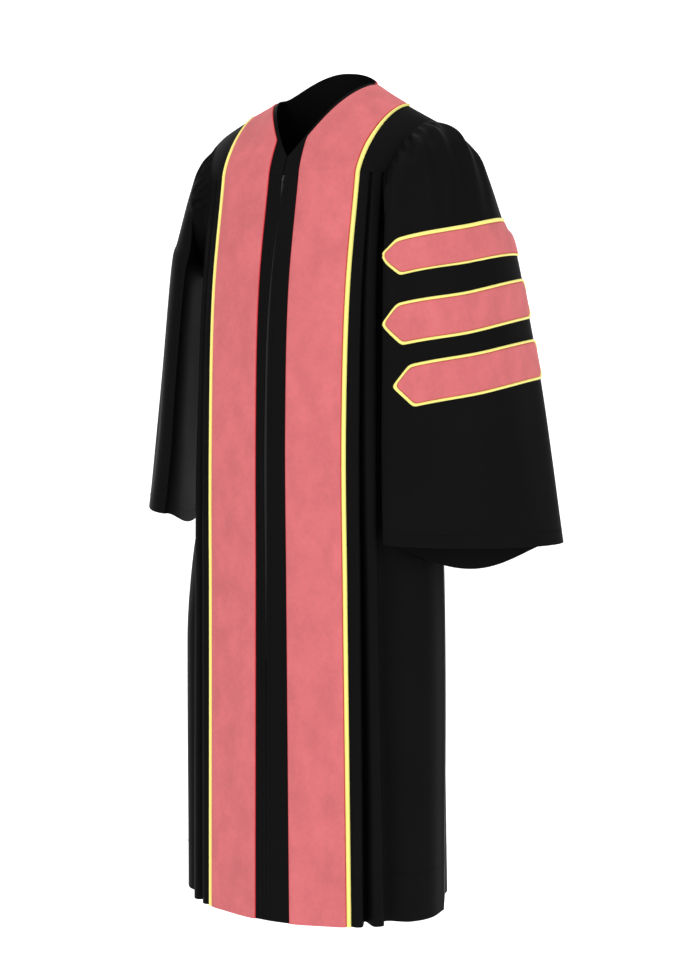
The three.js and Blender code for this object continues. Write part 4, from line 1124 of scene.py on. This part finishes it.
class GOWN_OT_zip(bpy.types.Operator):
    """Makes the zip's tape, teeth and slider"""

    bl_idname = "gown.zip"
    bl_label = "Zip"

    def execute(self, context):
        drop = np.linspace(YOKE + SEAM_GAP / 2, ZIP_END, 160)[:, None]
        centre, half = slit["centre"](drop), slit["half"](drop)
        wide = half + TAPE_HALF
        across = [centre - wide, centre - half, centre, centre + half, centre + wide]
        points = front_point(np.concatenate(across, 1), drop)
        piece = make_shell("zip_tape_web", points, normals(points, -1), TAPE_FRONT, TAPE_REAR,
                           "black_tape")
        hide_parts("zip_tape")
        self.teeth()
        self.slider()
        return {"FINISHED"}

    def teeth(self):
        """Small blocks along both sides of the slit's middle, in turn left and right."""
        drop = np.arange(TEETH_TOP, TEETH_END, TEETH_STEP)
        side = np.where(np.arange(len(drop)) % 2 == 0, 1.0, -1.0)
        across = slit["centre"](drop) + side * TEETH_APART
        centre = front_point(across, drop, TEETH_DEPTH)
        right, out, up = np.array([[1.0, 0, 0], [0, -1, 0], [0, 0, 1]])
        make_blocks("zip_teeth", centre, right, out, up, TOOTH_HALF, "black_tape")

    def slider(self):
        """A small rounded wedge, standing in the open top of the slit."""
        outline = np.array([(-0.9, 0.55), (-0.6, 0.9), (0, 1), (0.6, 0.9), (0.9, 0.55), (0.6, -0.9),
                            (0, -1), (-0.6, -0.9)])
        drop = SLIDER_DROP - np.array([0.0, SLIDER_HALF_LENGTH])
        centre, upper = front_point(slit["centre"](drop), drop)
        up = (upper - centre) / np.linalg.norm(upper - centre)
        out = np.cross([1.0, 0, 0], up)
        across = np.cross(up, out)
        layers = ((-1.5, 0.9), (-1.2, 1.0), (0.3, 1.0), (0.8, 0.86), (1.0, 0.6), (1.0, 0.2))
        flat = outline[:, :1] * SLIDER_HALF_WIDTH * across
        flat = flat + outline[:, 1:] * SLIDER_HALF_LENGTH * up
        rings = np.stack([centre + out * depth + share * flat for depth, share in layers])
        piece = make_tube("zip_slider_body", rings, "slider_metal", turned=True)
        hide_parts("zip_slider")


def make_blocks(name, centre, across, out, along, half, slot):
    """Many small blocks in one piece: eight corners round each centre, by half sizes along three
    directions, with the outer corners drawn in."""
    across, out, along = (np.broadcast_to(v, centre.shape) for v in (across, out, along))
    corners = []
    for c in (-1, 1):
        draw = 1.0 if c < 0 else 0.7
        for a, b in ((-1, -1), (1, -1), (1, 1), (-1, 1)):
            level = across * half[0] * a * draw + along * half[2] * b * draw
            corners.append(centre + level + out * half[1] * c)
    points = np.stack(corners, 1).reshape(-1, 3)
    quads = np.array([(3, 2, 1, 0), (4, 5, 6, 7), *((k, (k + 1) % 4, (k + 1) % 4 + 4, k + 4)
                                                    for k in range(4))])
    faces = (np.arange(len(centre))[:, None, None] * 8 + quads[None]).reshape(-1, 4)
    make_mesh(name, points, faces, slot)


class GOWN_OT_sewing(bpy.types.Operator):
    """Makes the rows of stitches: the hems and beside the slit"""

    bl_idname = "gown.sewing"
    bl_label = "Sewing"

    def execute(self, context):
        size = sizes()
        lines = []
        drop, back = back_grid()
        row = int(np.argmin(np.abs(drop - (HEM - size["hem_turn"]))))
        lines.append((back[row], normals(back, -1)[row]))
        for name, hang in HANG.items():
            side = hang["side"]
            _, front = front_grid(side)
            _, sleeve, sleeve_normal = sleeve_grid(name)
            levels = np.linspace(YOKE + 6, HEM - 4, 400)
            edge = side * slit["centre"](levels) + slit["half"](levels) + SLIT_SEWING
            strip = front_flat(edge[:, None] + np.array([-1.0, 0, 1.0]), levels[:, None])
            for points, normal in (
                (front[row], normals(front, -1)[row]),
                (sleeve[-3], sleeve_normal[-3]),
                (strip[:, 1], normals(strip, -1)[:, 1]),
            ):
                lines.append((flip(points, side), flip(normal, side)))
        found = [self.spread(points, normal, size["stitch"]) for points, normal in lines]
        centre, along, out = (np.concatenate([item[k] for item in found]) for k in range(3))
        across = np.cross(along, out)
        half = (STITCH_HALF_WIDTH, STITCH_HALF_HEIGHT, size["stitch"] * STITCH_SHARE)
        make_blocks("stitches", centre + out * STITCH_LIFT, across, out, along, half, "black_cloth")
        return {"FINISHED"}

    def spread(self, points, normal, step):
        """Even places along a line of points, with the line's direction and the cloth's normal."""
        marks = marks_of(points)
        places = np.arange(step, marks[-1] - step, step)
        before, centre, after = (along_line(points, marks, places + way) for way in (-0.5, 0, 0.5))
        along = (after - before) / np.linalg.norm(after - before, axis=-1, keepdims=True)
        out = along_line(normal, marks, places)
        out = out - along * (out * along).sum(-1, keepdims=True)
        return centre, along, out / np.linalg.norm(out, axis=-1, keepdims=True)


# Stage


class GOWN_OT_stage(bpy.types.Operator):
    """Makes the floor with its backdrop, the lights and the camera"""

    bl_idname = "gown.stage"
    bl_label = "Stage"

    def execute(self, context):
        self.floor(context)
        self.lights(context)
        self.camera(context)
        return {"FINISHED"}

    def floor(self, context):
        """A pale sweep: flat under the gown, turning up far behind it."""
        turn = np.linspace(0, math.pi / 2, 24)
        bend = FLOOR_RUN + FLOOR_BEND * np.sin(turn)
        run = np.concatenate([[-FLOOR_HALF], bend, bend[-1:]])
        rise = np.concatenate([[0.0], FLOOR_BEND * (1 - np.cos(turn)), [FLOOR_HALF]]) - FLOOR_DROP
        across = np.array([-FLOOR_HALF, FLOOR_HALF])
        a = math.radians(CAMERA_TURN)
        x = across[None, :] * math.cos(a) - run[:, None] * math.sin(a)
        y = across[None, :] * math.sin(a) + run[:, None] * math.cos(a)
        points = np.stack(np.broadcast_arrays(x, y, rise[:, None]), -1)
        mesh = bpy.data.meshes.new("floor")
        faces = grid_faces(np.arange(points.size // 3).reshape(-1, 2))[:, ::-1]
        mesh.from_pydata(points.reshape(-1, 3).tolist(), [], faces.tolist())
        mesh.polygons.foreach_set("use_smooth", np.ones(len(mesh.polygons), bool))
        tone = context.scene.gown_colours.floor
        finish = Finish("pale_floor", Base_Color=colour(tone), Roughness=0.9)
        finish.set(Specular_IOR_Level=0.1)
        finish.set(Emission_Color=colour((1.0, 1.0, 1.0)), Emission_Strength=FLOOR_GLOW)
        mesh.materials.append(finish.material)
        floor = bpy.data.objects.new("floor", mesh)
        context.scene.collection.objects.link(floor)

    def lights(self, context):
        """A white world and the table's area lights, each pointed at the gown's middle."""
        world = bpy.data.worlds.new("studio")
        context.scene.world = world
        world.use_nodes = True
        background = world.node_tree.nodes["Background"]
        background.inputs["Color"].default_value = (1.0, 1.0, 1.0, 1.0)
        background.inputs["Strength"].default_value = WORLD_STRENGTH
        for name, place, size, power in LIGHTS:
            light = bpy.data.lights.new(name, "AREA")
            light.size, light.energy = size, power
            lamp = bpy.data.objects.new(name, light)
            lamp.location = place
            lamp.rotation_mode = "QUATERNION"
            aim = Vector(LIGHT_TARGET - np.array(place))
            lamp.rotation_quaternion = aim.to_track_quat("-Z", "Y")
            context.scene.collection.objects.link(lamp)

    def camera(self, context):
        """The photo's camera: turned about Z, then tilted down from level."""
        data = bpy.data.cameras.new("camera")
        data.lens, data.sensor_width, data.shift_x = CAMERA_LENS, 36.0, CAMERA_SHIFT
        camera = bpy.data.objects.new("camera", data)
        camera.location = CAMERA_PLACE
        camera.rotation_euler = (math.radians(90 - CAMERA_TILT), 0, math.radians(CAMERA_TURN))
        context.scene.collection.objects.link(camera)
        context.scene.camera = camera
        context.scene.view_settings.view_transform = "Standard"


# Add-on


class GOWN_PT_panel(bpy.types.Panel):
    """Lists the gown's steps, sizes and colours"""

    bl_idname = "GOWN_PT_panel"
    bl_label = "Graduation gown"
    bl_space_type = "VIEW_3D"
    bl_region_type = "UI"
    bl_category = "Gown"

    def draw(self, context):
        for group in (context.scene.gown_sizes, context.scene.gown_colours):
            for key in group.__annotations__:
                self.layout.prop(group, key)
        for step in STEPS:
            self.layout.operator(step.bl_idname)


STEPS = (
    GOWN_OT_panels, GOWN_OT_sleeves, GOWN_OT_bands, GOWN_OT_bars, GOWN_OT_zip, GOWN_OT_sewing,
    GOWN_OT_stage,
)
CLASSES = (GownSizes, GownColours, *STEPS, GOWN_PT_panel)


def register():
    for item in CLASSES:
        bpy.utils.register_class(item)
    bpy.types.Scene.gown_sizes = bpy.props.PointerProperty(type=GownSizes)
    bpy.types.Scene.gown_colours = bpy.props.PointerProperty(type=GownColours)


def unregister():
    del bpy.types.Scene.gown_colours
    del bpy.types.Scene.gown_sizes
    for item in reversed(CLASSES):
        bpy.utils.unregister_class(item)


def main():
    register()
    for step in STEPS:
        getattr(bpy.ops.gown, step.bl_idname.split(".")[1])()


if __name__ == "__main__":
    main()
